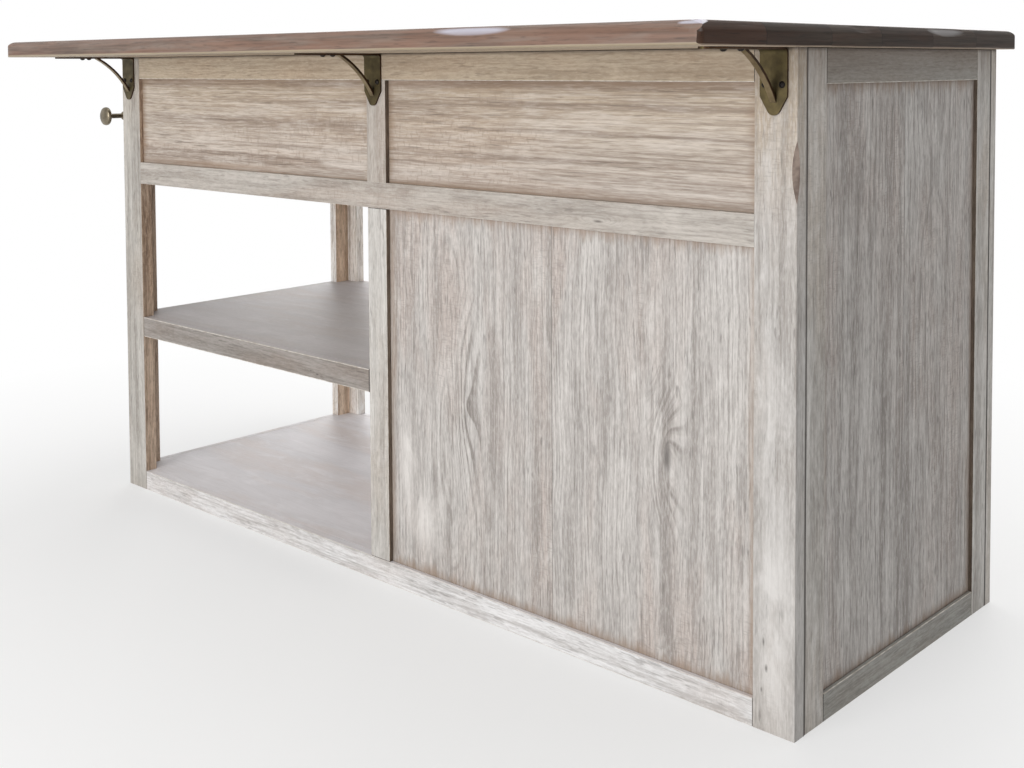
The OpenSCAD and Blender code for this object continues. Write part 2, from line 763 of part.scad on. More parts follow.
worktop();
back_left_stile();
back_right_stile();
back_upper_middle_stile();
back_lower_middle_stile();
back_top_rail();
back_middle_rail();
back_bottom_rail();
back_shelf_rail();
back_left_apron_panel();
back_right_apron_panel();
back_cupboard_panel();
right_end_back_stile();
right_end_front_stile();
right_end_rails();
right_end_panel();
left_end_back_stile();
left_end_front_stile();
left_end_rails();
left_end_apron_panel();
front_left_stile();
front_right_stile();
front_middle_stiles();
front_top_rail();
front_middle_rail();
front_bottom_rail();
front_shelf_rail();
bottom_bearer();
bottom_board();
middle_shelf();
cupboard_shelf();
bay_partition();
drawer_runners();
bracket_strips();
bracket_struts();
bracket_screws();
towel_bar();
towel_bar_posts();
towel_bar_finials();
left_drawer_front();
left_drawer_sides();
left_drawer_back();
left_drawer_bottom();
left_drawer_knobs();
right_drawer_front();
right_drawer_sides();
right_drawer_back();
right_drawer_bottom();
right_drawer_knobs();
left_door_stiles();
left_door_rails();
left_door_panel();
left_door_knob();
left_door_hinge_leaves();
right_door_stiles();
right_door_rails();
right_door_panel();
right_door_knob();
right_door_hinge_leaves();
hinge_frame_leaves();
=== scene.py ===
"""The looks of a kitchen island unit: limed wood frames and panels, a brown worktop, aged metal fittings.

Metres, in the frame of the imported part: +X along the body, -Y the seating side, +Z up.
"""

import json
import math
import random

import bmesh
import bpy
from mathutils import Matrix, Vector
from mathutils.bvhtree import BVHTree

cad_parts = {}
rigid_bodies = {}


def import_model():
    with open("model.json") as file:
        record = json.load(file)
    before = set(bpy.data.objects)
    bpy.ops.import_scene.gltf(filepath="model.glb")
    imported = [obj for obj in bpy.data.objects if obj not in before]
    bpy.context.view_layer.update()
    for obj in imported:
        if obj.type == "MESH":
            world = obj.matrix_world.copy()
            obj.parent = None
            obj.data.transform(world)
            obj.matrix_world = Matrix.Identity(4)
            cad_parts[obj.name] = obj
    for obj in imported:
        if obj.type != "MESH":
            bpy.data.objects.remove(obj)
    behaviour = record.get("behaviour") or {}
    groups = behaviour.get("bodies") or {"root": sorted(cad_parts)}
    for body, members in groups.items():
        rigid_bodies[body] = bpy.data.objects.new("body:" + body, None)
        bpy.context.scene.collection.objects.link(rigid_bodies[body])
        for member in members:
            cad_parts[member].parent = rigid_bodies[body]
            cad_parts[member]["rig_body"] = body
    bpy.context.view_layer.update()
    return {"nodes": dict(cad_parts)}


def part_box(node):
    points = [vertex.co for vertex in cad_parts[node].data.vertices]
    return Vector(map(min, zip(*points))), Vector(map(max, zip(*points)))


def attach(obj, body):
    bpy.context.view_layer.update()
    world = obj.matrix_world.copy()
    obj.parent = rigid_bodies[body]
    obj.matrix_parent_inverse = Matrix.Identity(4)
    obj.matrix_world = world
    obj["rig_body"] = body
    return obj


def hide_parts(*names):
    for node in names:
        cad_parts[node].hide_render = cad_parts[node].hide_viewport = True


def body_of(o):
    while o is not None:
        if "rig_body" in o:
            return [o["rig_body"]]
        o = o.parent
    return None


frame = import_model()
scene = bpy.context.scene
scene.view_settings.view_transform = "Standard"

# ---------------------------------------------------------------------------------------------
# The camera stands to the right of the seating side, at the height of the worktop. Its place, its
# turn and its lens were solved from the photograph's frame corners, and the shift is the
# photograph's own framing.
CAMERA_AT = (1.6472, -1.7449, 0.8632)
CAMERA_YAW = -42.913
CAMERA_PITCH = -2.773
CAMERA_ROLL = -0.312
FOCAL_PIXELS = 1322.3
IMAGE_WIDTH = 1024
IMAGE_HEIGHT = 768
LENS_AXIS_ROW = 130
SENSOR_MM = 36

camera_data = bpy.data.cameras.new("camera")
camera_data.sensor_width = SENSOR_MM
camera_data.lens = FOCAL_PIXELS / IMAGE_WIDTH * SENSOR_MM
camera_data.shift_y = -(IMAGE_HEIGHT / 2 - LENS_AXIS_ROW) / IMAGE_WIDTH
camera = bpy.data.objects.new("camera", camera_data)
scene.collection.objects.link(camera)
camera.matrix_world = (
    Matrix.Translation(CAMERA_AT)
    @ Matrix.Rotation(math.radians(-CAMERA_YAW), 4, "Z")
    @ Matrix.Rotation(math.radians(90 + CAMERA_PITCH), 4, "X")
    @ Matrix.Rotation(math.radians(CAMERA_ROLL), 4, "Z")
)
scene.camera = camera

# ---------------------------------------------------------------------------------------------
# The stage: a pale floor that turns white away from the unit, a white world that lights gently
# from all round, and four soft lamps. The strongest stands off the seating side, so that the
# right end falls into shade.
def add(tree, kind, inputs=None, **settings):
    """One shader node, its settings, and its inputs given as values or as sockets to link."""
    node = tree.nodes.new("ShaderNode" + kind)
    for key, value in settings.items():
        setattr(node, key, value)
    for key, value in (inputs or {}).items():
        if isinstance(value, bpy.types.NodeSocket):
            tree.links.new(value, node.inputs[key])
        else:
            node.inputs[key].default_value = value
    return node


def calc(tree, operation, *values):
    """A sum, product or comparison of values or sockets."""
    return add(tree, "Math", dict(enumerate(values)), operation=operation).outputs[0]


def spread(tree, value, low, high, bottom=0.0, top=1.0):
    """A value's range between two limits, stretched and clamped."""
    return add(tree, "MapRange", {"Value": value, "From Min": low, "From Max": high,
                                  "To Min": bottom, "To Max": top}).outputs[0]


def seen_directly(tree):
    """1 where the camera sees a thing itself, in a mirror or through glass."""
    path = add(tree, "LightPath").outputs
    seen = calc(tree, "MAXIMUM", path["Is Camera Ray"], path["Is Transmission Ray"])
    return calc(tree, "MAXIMUM", seen, path["Is Glossy Ray"])


def new_material(name):
    """An empty material and its node tree."""
    material = bpy.data.materials.new(name)
    material.use_nodes = True
    material.node_tree.nodes.clear()
    return material, material.node_tree


WHITE = (1, 1, 1, 1)
WORLD_LIGHT = 0.47
world = bpy.data.worlds.new("white_room")
world.use_nodes = True
world.node_tree.nodes.clear()
strength = spread(world.node_tree, seen_directly(world.node_tree), 0, 1, WORLD_LIGHT, 1.0)
sky = add(world.node_tree, "Background", {"Color": WHITE, "Strength": strength})
add(world.node_tree, "OutputWorld", {"Surface": sky.outputs[0]})
scene.world = world

FLOOR_SIZE = 30.0
FLOOR_COLOUR = (0.88, 0.88, 0.875, 1)
FLOOR_ROUGHNESS = 0.7
SHADOW_REACH = 0.95
WHITE_FROM = 1.9
NEAR_WHITE = 0.5
floor_mesh = bpy.data.meshes.new("floor")
half = FLOOR_SIZE / 2
floor_mesh.from_pydata([(-half, -half, 0), (half, -half, 0), (half, half, 0), (-half, half, 0)], [],
                       [(0, 1, 2, 3)])
floor = bpy.data.objects.new("floor", floor_mesh)
scene.collection.objects.link(floor)
floor_paint, tree = new_material("floor_paint")
paint = add(tree, "BsdfPrincipled", {"Base Color": FLOOR_COLOUR, "Roughness": FLOOR_ROUGHNESS})
away = add(tree, "VectorMath", {0: add(tree, "TexCoord").outputs["Object"]}, operation="LENGTH")
far_off = spread(tree, away.outputs["Value"], SHADOW_REACH, WHITE_FROM, NEAR_WHITE, 1)
white = add(tree, "Emission", {"Color": WHITE, "Strength": 1.0})
fading = add(tree, "MixShader", {0: calc(tree, "MULTIPLY", far_off, seen_directly(tree)),
                                 1: paint.outputs[0], 2: white.outputs[0]})
add(tree, "OutputMaterial", {"Surface": fading.outputs[0]})
floor_mesh.materials.append(floor_paint)


def soft_lamp(name, at, aim, size, watts):
    """A large square lamp that points at a place, with its side in metres."""
    data = bpy.data.lights.new(name, "AREA")
    data.size = size
    data.energy = watts
    lamp = bpy.data.objects.new(name, data)
    lamp.location = at
    lamp.rotation_mode = "QUATERNION"
    lamp.rotation_quaternion = (Vector(aim) - Vector(at)).to_track_quat("-Z", "Y")
    scene.collection.objects.link(lamp)


soft_lamp("key_lamp", (0.1, -4.4, 1.15), (0, 0, 0.45), 2.2, 112)
soft_lamp("bay_lamp", (-3.0, 2.5, 1.05), (-0.2, 0, 0.35), 1.6, 29)
soft_lamp("top_lamp", (0.3, 0.4, 3.4), (0, 0, 0.9), 2.6, 40)
soft_lamp("front_lamp", (-0.6, 4.4, 1.3), (0, 0, 0.45), 2.2, 42)

# ---------------------------------------------------------------------------------------------
# Corner stiles: eight upright boards of limed hardwood, the L-shaped posts of the body. Pale wax fills the
# open grain. Where two boards meet, the eased edges take brown stain with painted shade, and the free edges
# are rubbed pale with a painted highlight.
AXES = {"X": 0, "Y": 1, "Z": 2}


def tone(red, green, blue):
    """A colour as it is seen, 0 to 255, in the linear values that shaders take."""
    def linear(value):
        value /= 255
        return value / 12.92 if value <= 0.04045 else ((value + 0.055) / 1.055) ** 2.4
    return linear(red), linear(green), linear(blue), 1


def scaled(colour, by):
    """A colour made lighter or darker."""
    return tuple(min(1, part * by) for part in colour[:3]) + (1,)


def blended(tree, factor, first, second):
    """One colour laid over another; each may be a socket."""
    node = add(tree, "Mix", data_type="RGBA")
    for index, value in ((0, factor), (6, first), (7, second)):
        if isinstance(value, bpy.types.NodeSocket):
            tree.links.new(value, node.inputs[index])
        else:
            node.inputs[index].default_value = value
    return node.outputs[2]


def drawn_noise(tree, place, along, across, detail=3.0, roughness=0.6, distortion=0.0):
    """Noise drawn out along a board whose grain runs along Z, with its frequencies per metre."""
    mapping = add(tree, "Mapping", {"Vector": place, "Scale": (across, across, along)})
    return add(tree, "TexNoise", {"Vector": mapping.outputs[0], "Scale": 1.0, "Detail": detail,
                                  "Roughness": roughness, "Distortion": distortion}).outputs[0]


def per_board(tree, across, boards, column):
    """A value that changes from one glued board to the next. A board is (its first edge, ...)."""
    value = boards[0][column]
    for before, after in zip(boards, boards[1:]):
        beyond = calc(tree, "GREATER_THAN", across, after[0])
        change = calc(tree, "MULTIPLY", beyond, after[column] - before[column])
        value = calc(tree, "ADD", value, change)
    return value


def apart_from(tree, side, length, at_side, at_length, half_width, half_length):
    """0 at the middle of a long spot on a board, and 1 at its rim."""
    one = calc(tree, "DIVIDE", calc(tree, "SUBTRACT", side, at_side), half_width)
    two = calc(tree, "DIVIDE", calc(tree, "SUBTRACT", length, at_length), half_length)
    return calc(tree, "SQRT", calc(tree, "ADD", calc(tree, "POWER", one, 2), calc(tree, "POWER", two, 2)))


THICKEST_PANEL = 0.02


def rim_distance(tree, parts, opening):
    """How far a point of a panel is inside the nearest edge of its opening."""
    nearest = 10.0
    for i, (low, high) in enumerate(zip(*opening)):
        if high - low > THICKEST_PANEL:
            nearest = calc(tree, "MINIMUM", nearest, calc(tree, "SUBTRACT", parts[i], low))
            nearest = calc(tree, "MINIMUM", nearest, calc(tree, "SUBTRACT", high, parts[i]))
    return nearest


# The wood's markings: how often each repeats along and across the grain, per metre, then its
# detail, roughness and distortion.
WAVER = (2.4, 5, 2)
SWAY = (1.3, 0.6, 2)
CLOUD = (9, 24, 4, 0.65, 0.6)
FIBRE = (70, 390, 3, 0.68, 0.3)
HAIR = (9, 260, 3, 0.62)
STREAK = (4.2, 62, 4, 0.64, 0.2)
BUNDLE = (1.2, 34, 4, 0.62, 0.3)
PATCH = (2.4, 9, 3, 0.6, 0.4)
CRACKS = (36, 340, 1, 0.5)
TICKS = (420, 90, 1, 0.5)
RINGS_PER_METRE = 210.0
KNOT_SWELL = 0.035

# Tones laid over the wood: warmer and darker near the worktop, a warmer tone with painted shade; painted
# shade under the worktop and a painted shadow line just beneath it; brown stain with painted shade round a
# panel's rim; dark stain in a corner's seam. Heights are metres.
HONEY_AND_SHADE_LIGHT = tone(182, 164, 138)
HONEY_AND_SHADE_DARK = tone(156, 136, 110)
HONEY_AND_SHADE_HEIGHTS = (0.68, 0.84)
PAINTED_SHADE_TONE = tone(104, 86, 71)
PAINTED_SHADE_HEIGHTS = (0.81, 0.88)
PAINTED_SHADOW_TONE = tone(58, 46, 37)
PAINTED_SHADOW_HEIGHTS = (0.8795, 0.8840)
RIM_STAIN_AND_SHADE_LIGHT = tone(150, 124, 100)
RIM_STAIN_AND_SHADE_DARK = tone(112, 90, 72)
RIM_STAIN_AND_SHADE_WIDTHS = (0.001, 0.018)
SEAM_TONE = tone(58, 48, 41)
SEAM_WIDTHS = (0.0012, 0.0034)
GLUE_LINE = 0.0008


def limed_wood(name, along, across, tones, boards=((0, 0.25, 0.05),), knots=(), stripes=(), waxed=(),
               opening=None, seams=(), honey_and_shade=0.0, shade_under_top=0.0, figure=0.5, contrast=1.0, gloss=0.6,
               drawn=1.0):
    """Limed open-grained wood. tones are (pale, mid, dark, warm). A board is (its first edge, the
    middle of its growth rings, how deep that lies), a dark stripe or a patch of thick wax (across,
    along, half width, half length), and a knot the same with the darkness of its heart. opening is
    (low corner, high corner) of what shows of a panel, and seams are the depths, along Y, of the
    joints down a corner. honey, shade_under_top and figure are shares from 0 to 1. drawn is how much
    longer than usual the markings are, and gloss is the roughness of the finish."""
    chance = random.Random(name)
    pale, mid, dark, warm = (scaled(colour, chance.uniform(0.97, 1.03)) for colour in tones)
    material, tree = new_material(name)
    parts = add(tree, "SeparateXYZ", {0: add(tree, "TexCoord").outputs["Object"]}).outputs
    side, length = parts[AXES[across]], parts[AXES[along]]
    through = parts[3 - AXES[across] - AXES[along]]
    board_shifts = [(edge, 7.3 * i, 3.1 * i) for i, (edge, *_) in enumerate(boards)]
    turned = add(tree, "CombineXYZ", {
        0: calc(tree, "ADD", side, per_board(tree, side, board_shifts, 2)), 1: through,
        2: calc(tree, "ADD", length, per_board(tree, side, board_shifts, 1))})
    place = add(tree, "Mapping", {"Vector": turned.outputs[0], "Scale": (1, 1, 1 / drawn),
                                  "Location": [chance.uniform(-40, 40) for _ in range(3)]}).outputs[0]

    # the growth rings: circles round the log's middle, cut lengthways by the board's face
    waver = calc(tree, "MULTIPLY_ADD", drawn_noise(tree, place, *WAVER), 0.05, -0.025)
    sway = calc(tree, "MULTIPLY_ADD", drawn_noise(tree, place, *SWAY), 0.16, -0.08)
    from_middle = calc(tree, "SUBTRACT", side, per_board(tree, side, boards, 1))
    from_middle = calc(tree, "ADD", from_middle, waver)
    depth = calc(tree, "ADD", sway, per_board(tree, side, boards, 2))
    ring = calc(tree, "SQRT", calc(tree, "ADD", calc(tree, "POWER", from_middle, 2),
                                   calc(tree, "POWER", depth, 2)))
    cloud = drawn_noise(tree, place, *CLOUD)
    figured, hearts = spread(tree, cloud, 0.35, 0.6, 0.15, 1), []
    for *spot, darkness in knots:
        apart = apart_from(tree, side, length, *spot)
        ring = calc(tree, "ADD", ring, spread(tree, apart, 0, 1, KNOT_SWELL, 0))
        figured = calc(tree, "MAXIMUM", figured, spread(tree, apart, 0.9, 0.5, 0, 1.5))
        hearts.append(spread(tree, apart, 0.05, 0.22, darkness, 0))
    rings = add(tree, "TexNoise", {"W": ring, "Scale": RINGS_PER_METRE, "Detail": 2.0, "Roughness": 0.6},
                noise_dimensions="1D").outputs[0]

    # the body of the colour: pale wax over mid tones in streaks, and warmer or paler patches
    streak = drawn_noise(tree, place, *STREAK)
    patch = drawn_noise(tree, place, *PATCH)
    even = max(0, 1 - contrast) / 2
    colour = blended(tree, spread(tree, streak, 0.36, 0.62, even, 1 - even), pale, mid)
    colour = blended(tree, spread(tree, patch, 0.46, 0.62, 0, 0.7), colour, warm)
    colour = blended(tree, spread(tree, patch, 0.46, 0.34, 0, 0.5), colour, scaled(pale, 1.08))
    # warmer and darker towards the worktop: a warmer tone of the wood, with painted shade under the worktop
    if honey_and_shade:
        warm_and_shaded = blended(tree, streak, HONEY_AND_SHADE_LIGHT, HONEY_AND_SHADE_DARK)
        colour = blended(tree, spread(tree, parts[2], *HONEY_AND_SHADE_HEIGHTS, 0, honey_and_shade), colour, warm_and_shaded)

    # the figure: dark bundles of grain, growth rings and single stripes
    bundle = drawn_noise(tree, place, *BUNDLE)
    colour = blended(tree, spread(tree, bundle, 0.5, 0.66, 0, 0.85 * contrast), colour, dark)
    shown = calc(tree, "MULTIPLY", spread(tree, rings, 0.47, 0.6), figured)
    colour = blended(tree, calc(tree, "MULTIPLY", shown, figure), colour, dark)
    for spot in stripes:
        wavering = calc(tree, "MULTIPLY_ADD", waver, 0.35, side)
        wavering = calc(tree, "ADD", wavering, spread(tree, streak, 0.3, 0.7, -0.004, 0.004))
        stripe = spread(tree, apart_from(tree, wavering, length, *spot), 1.0, 0.3)
        stripe = calc(tree, "MULTIPLY", stripe, spread(tree, cloud, 0.35, 0.6, 0.5, 1))
        colour = blended(tree, calc(tree, "MULTIPLY", stripe, 0.8), colour, dark)

    # the fine marks; each shows from one value of its noise to another, up to a strength
    fibre = drawn_noise(tree, place, *FIBRE)
    hair = drawn_noise(tree, place, *HAIR)
    for marks, starts, full, strength, mark_tone in (
            (cloud, 0.5, 0.68, 0.55, scaled(pale, 1.12)),
            (fibre, 0.5, 0.66, 0.4 * contrast, dark),
            (fibre, 0.5, 0.36, 0.34 * contrast, scaled(pale, 1.22)),
            (hair, 0.52, 0.66, 0.5 * contrast, scaled(dark, 0.85)),
            (hair, 0.46, 0.34, 0.3 * contrast, scaled(pale, 1.15))):
        colour = blended(tree, spread(tree, marks, starts, full, 0, strength), colour, mark_tone)
    cracks = drawn_noise(tree, place, *CRACKS)
    ticks = drawn_noise(tree, place, *TICKS)
    masked = calc(tree, "MULTIPLY", spread(tree, cracks, 0.6, 0.68), spread(tree, cloud, 0.56, 0.44))
    colour = blended(tree, calc(tree, "MULTIPLY", masked, 0.55 * contrast), colour, scaled(dark, 0.55))
    masked = calc(tree, "MULTIPLY", spread(tree, ticks, 0.56, 0.66), spread(tree, patch, 0.52, 0.6))
    colour = blended(tree, calc(tree, "MULTIPLY", masked, 0.3 * contrast), colour, dark)

    # what lies on the wood: wax, knots' hearts, joint stains, and painted shade under the worktop and at
    # rims
    for spot in waxed:
        thick = spread(tree, apart_from(tree, side, length, *spot), 1.0, 0.2, 0, 0.75)
        thick = calc(tree, "MULTIPLY", thick, spread(tree, cloud, 0.4, 0.55, 0.4, 1))
        colour = blended(tree, thick, colour, scaled(pale, 1.25))
    for heart in hearts:
        colour = blended(tree, heart, colour, scaled(dark, 0.5))
    # painted shade under the worktop, and a painted shadow line just beneath it
    if shade_under_top:
        colour = blended(tree, spread(tree, parts[2], *PAINTED_SHADE_HEIGHTS, 0, shade_under_top), colour, PAINTED_SHADE_TONE)
        colour = blended(tree, spread(tree, parts[2], *PAINTED_SHADOW_HEIGHTS, 0, 0.7), colour, PAINTED_SHADOW_TONE)
    # brown stain round a panel's rim, with painted shade where the panel sinks under its frame
    if opening:
        ragged = calc(tree, "ADD", rim_distance(tree, parts, opening),
                      spread(tree, streak, 0.3, 0.7, -0.007, 0.01))
        rim = blended(tree, streak, RIM_STAIN_AND_SHADE_LIGHT, RIM_STAIN_AND_SHADE_DARK)
        colour = blended(tree, spread(tree, ragged, *RIM_STAIN_AND_SHADE_WIDTHS, 0.62, 0.0), colour, rim)
    for depth_at in seams:
        apart = calc(tree, "ABSOLUTE", calc(tree, "SUBTRACT", parts[1], depth_at))
        apart = calc(tree, "ADD", apart, spread(tree, streak, 0.3, 0.7, -0.0008, 0.0008))
        colour = blended(tree, spread(tree, apart, *SEAM_WIDTHS, 0.85, 0), colour, SEAM_TONE)
    for edge, *_ in boards[1:]:
        line = calc(tree, "COMPARE", side, edge, GLUE_LINE)
        colour = blended(tree, calc(tree, "MULTIPLY", line, 0.6), colour, scaled(dark, 0.5))

    bump = add(tree, "Bump", {"Height": fibre, "Strength": 0.45, "Distance": 0.0008})
    skin = add(tree, "BsdfPrincipled", {
        "Base Color": colour, "Normal": bump.outputs[0],
        "Roughness": spread(tree, fibre, 0.3, 0.7, gloss - 0.06, gloss + 0.1)})
    add(tree, "OutputMaterial", {"Surface": skin.outputs[0]})
    return material


def patchy_edge(name, light, dark):
    """A thin edge, patchy between two tones."""
    material, tree = new_material(name)
    worn = add(tree, "TexNoise", {"Vector": add(tree, "TexCoord").outputs["Object"], "Scale": 70.0,
                                  "Detail": 3.0}).outputs[0]
    mixed = blended(tree, spread(tree, worn, 0.4, 0.62), light, dark)
    skin = add(tree, "BsdfPrincipled", {"Base Color": mixed, "Roughness": 0.65})
    add(tree, "OutputMaterial", {"Surface": skin.outputs[0]})
    return material


corners, triangles, owners = [], [], []
for name, solid in frame["nodes"].items():
    first = len(corners)
    corners += [vertex.co for vertex in solid.data.vertices]
    triangles += [[first + i for i in face.vertices] for face in solid.data.polygons]
    owners += [name] * len(solid.data.polygons)
all_solids = BVHTree.FromPolygons(corners, triangles)
JOINT_REACH = 0.0019
JOINT_SHARE = 0.6
TOWARDS_ENDS = (0.15, 0.4, 0.65, 0.9)
OPEN_BOARDS = ("bottom_board", "middle_shelf")
WELD = 0.000005
FLAT_ANGLE = math.radians(0.5)
HARD_ANGLE = math.radians(28)


def meets_another(node, mesh, face):
    """True where most of a thin edge face lies against another piece."""
    ends = [mesh.vertices[i].co for i in face.vertices]
    spots = [face.center.lerp(end, part) for end in ends for part in TOWARDS_ENDS]
    met = 0
    for spot in spots:
        near = {owners[index] for _, _, index, _ in all_solids.find_nearest_range(spot, JOINT_REACH)}
        met += bool(near.difference((node, *OPEN_BOARDS)))
    return met > JOINT_SHARE * len(spots)


def refined(node, ease, face_material, worn_and_highlit_edge=None, joint_stain_and_shade=None, round_from=None):
    """A copy of a CAD solid with its hard edges eased, in its place. An eased edge gets one
    material where it meets another piece, and another where it is free. Faces that meet at less
    than round_from degrees are shaded as one round face."""
    source = frame["nodes"][node]
    mesh = bmesh.new()
    mesh.from_mesh(source.data)
    bmesh.ops.remove_doubles(mesh, verts=mesh.verts, dist=WELD)
    bmesh.ops.dissolve_limit(mesh, angle_limit=FLAT_ANGLE, verts=mesh.verts, edges=mesh.edges)
    data = bpy.data.meshes.new(node + ".eased")
    mesh.to_mesh(data)
    mesh.free()
    data.materials.clear()
    data.materials.append(face_material)
    piece = bpy.data.objects.new(node + ".eased", data)
    scene.collection.objects.link(piece)
    if worn_and_highlit_edge:
        data.materials.append(worn_and_highlit_edge)
        data.materials.append(joint_stain_and_shade)
    if ease:
        bevel = piece.modifiers.new("ease", "BEVEL")
        bevel.width = ease
        bevel.segments = 1 if round_from else 2
        bevel.limit_method = "ANGLE"
        bevel.angle_limit = HARD_ANGLE
        bevel.material = 1 if worn_and_highlit_edge else -1
        finished = bpy.data.meshes.new_from_object(
            piece.evaluated_get(bpy.context.evaluated_depsgraph_get()))
        piece.modifiers.clear()
        piece.data = finished
        finished.name = node + ".eased"
    for face in piece.data.polygons:
        if face.material_index and meets_another(node, piece.data, face):
            face.material_index = 2
    if round_from:
        piece.data.shade_smooth()
        piece.data.set_sharp_from_angle(angle=math.radians(round_from))
    else:
        piece.data.shade_flat()
    return piece


def fitted(piece, node):
    """Puts a refined piece in its node's place, on its body."""
    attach(piece, body_of(frame["nodes"][node])[0])
    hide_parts(node)


SQUARE_ON = 0.9


def painted(piece, material, chosen):
    """Gives the faces that a test picks a material of their own."""
    piece.data.materials.append(material)
    for face in piece.data.polygons:
        if chosen(face):
            face.material_index = len(piece.data.materials) - 1


FRAME_TONES = (tone(206, 203, 199), tone(186, 182, 176), tone(140, 133, 126), tone(190, 178, 166))
RIGHT_TONES = (tone(194, 191, 188), tone(175, 171, 167), tone(134, 127, 121), tone(179, 169, 160))
RIGHT_WAX = ((0.757, 0.14, 0.04, 0.20), (0.742, 0.42, 0.02, 0.14))
LEFT_TONES = (tone(188, 184, 178), tone(168, 163, 156), tone(128, 121, 114), tone(174, 163, 151))
# brown edge faces of the posts, lightened as painted light where little light reaches them
INNER_EDGE_PAINTED_LIGHT_TONES = (tone(220, 198, 176), tone(197, 174, 152), tone(126, 102, 84), tone(202, 172, 146))
# the far posts of the bay: lighter copies of the frame wood, as painted light at the back of the bay
REAR_EDGE_PAINTED_LIGHT_TONES = (tone(234, 214, 192), tone(216, 190, 165), tone(148, 118, 94), tone(222, 188, 159))
REAR_PAINTED_LIGHT_TONES = (tone(250, 246, 240), tone(238, 230, 221), tone(170, 154, 140), tone(240, 224, 208))
# stiles' side faces beside recessed panels: brown stain with painted shade
END_EDGE_STAIN_AND_SHADE_TONES = (tone(120, 106, 92), tone(98, 84, 72), tone(66, 54, 45), tone(104, 84, 68))
EASE = 0.0018
# free edges: rubbed pale, with a painted highlight along them
worn_and_highlit_edge = patchy_edge("patchy_edge", tone(214, 209, 201), tone(178, 169, 158))
# joints: brown stain with painted shade in the groove between two eased edges
joint_stain_and_shade = patchy_edge("stained_and_shaded_joint", tone(48, 39, 32), tone(28, 22, 19))
inner_edge_painted_light = limed_wood("inner_edge_wood", "Z", "Y", INNER_EDGE_PAINTED_LIGHT_TONES)
rear_edge_painted_light = limed_wood("rear_edge_wood", "Z", "Y", REAR_EDGE_PAINTED_LIGHT_TONES)
rear_face_painted_light = limed_wood("rear_face_wood", "Z", "X", REAR_PAINTED_LIGHT_TONES)
end_inner_edge_stain_and_shade = limed_wood("end_inner_edge_wood", "Z", "X", END_EDGE_STAIN_AND_SHADE_TONES)
wane = patchy_edge("wane_wood", tone(146, 130, 119), tone(108, 93, 84))
WANE = (0.690, 0.766)
ASLANT = 0.2
OUTSIDE = 0.7875
STILE_KNOTS = ((0.742, 0.118, 0.010, 0.03, 0.7), (0.746, 0.084, 0.012, 0.03, 0.8),
               (0.739, 0.054, 0.009, 0.02, 0.7))
SEAMS = (-0.275, 0.278)
for node, across, honey_and_shade, shade_under_top in (
        ("back_left_stile", "X", 0.35, 0.1), ("back_right_stile", "X", 0.85, 0.2),
        ("front_left_stile", "X", 0.35, 0.1), ("front_right_stile", "X", 0.35, 0.1),
        ("right_end_back_stile", "Y", 0, 0.45), ("right_end_front_stile", "Y", 0, 0.45),
        ("left_end_back_stile", "Y", 0, 0.3), ("left_end_front_stile", "Y", 0, 0.3)):
    tones = {"back_left_stile": LEFT_TONES, "back_right_stile": RIGHT_TONES}.get(node, FRAME_TONES)
    wood = limed_wood(node + "_wood", "Z", across, tones, honey_and_shade=honey_and_shade, shade_under_top=shade_under_top, figure=0.35,
                      contrast=0.8, seams=SEAMS, waxed=RIGHT_WAX if node == "back_right_stile" else (),
                      knots=STILE_KNOTS if node == "back_right_stile" else ())
    piece = refined(node, EASE, wood, worn_and_highlit_edge, joint_stain_and_shade)
    if node.startswith("back"):
        painted(piece, inner_edge_painted_light,
                lambda face: abs(face.normal.x) > SQUARE_ON and abs(face.center.x) < OUTSIDE)
    if node.startswith("right"):
        painted(piece, end_inner_edge_stain_and_shade, lambda face: abs(face.normal.y) > SQUARE_ON)
    if node.startswith("left"):
        painted(piece, rear_edge_painted_light if "front" in node else inner_edge_painted_light,
                lambda face: face.normal.x > SQUARE_ON)
    if node in ("front_left_stile", "left_end_front_stile"):
        painted(piece, rear_face_painted_light, lambda face: face.normal.y < -SQUARE_ON
                or face.normal.x > SQUARE_ON and "end" not in node)
    if node == "back_right_stile":
        painted(piece, wane, lambda face: face.normal.x > ASLANT and face.normal.y < -ASLANT
                and WANE[0] < face.center.z < WANE[1])
    fitted(piece, node)

# ---------------------------------------------------------------------------------------------
# Rails and middle stiles: the boards between the posts, of the same limed wood, with the grain
# along each. A dark line shows at each shoulder, and the rails' upper faces are lacquered like the
# boards that they hold.
# top rails darker and warmer than the others: a warmer tone of the wood, with painted shade under the
# worktop
TOP_RAIL_WARM_AND_SHADED_TONES = (tone(196, 182, 162), tone(178, 162, 141), tone(138, 120, 99), tone(184, 163, 140))
# bottom rails lighter than the others, as painted light near the floor
LOW_RAIL_PAINTED_LIGHT_TONES = (tone(221, 220, 220), tone(205, 203, 202), tone(163, 157, 153), tone(207, 199, 194))
END_RAIL_TONES = (tone(166, 165, 160), tone(148, 146, 140), tone(112, 108, 101), tone(150, 142, 132))
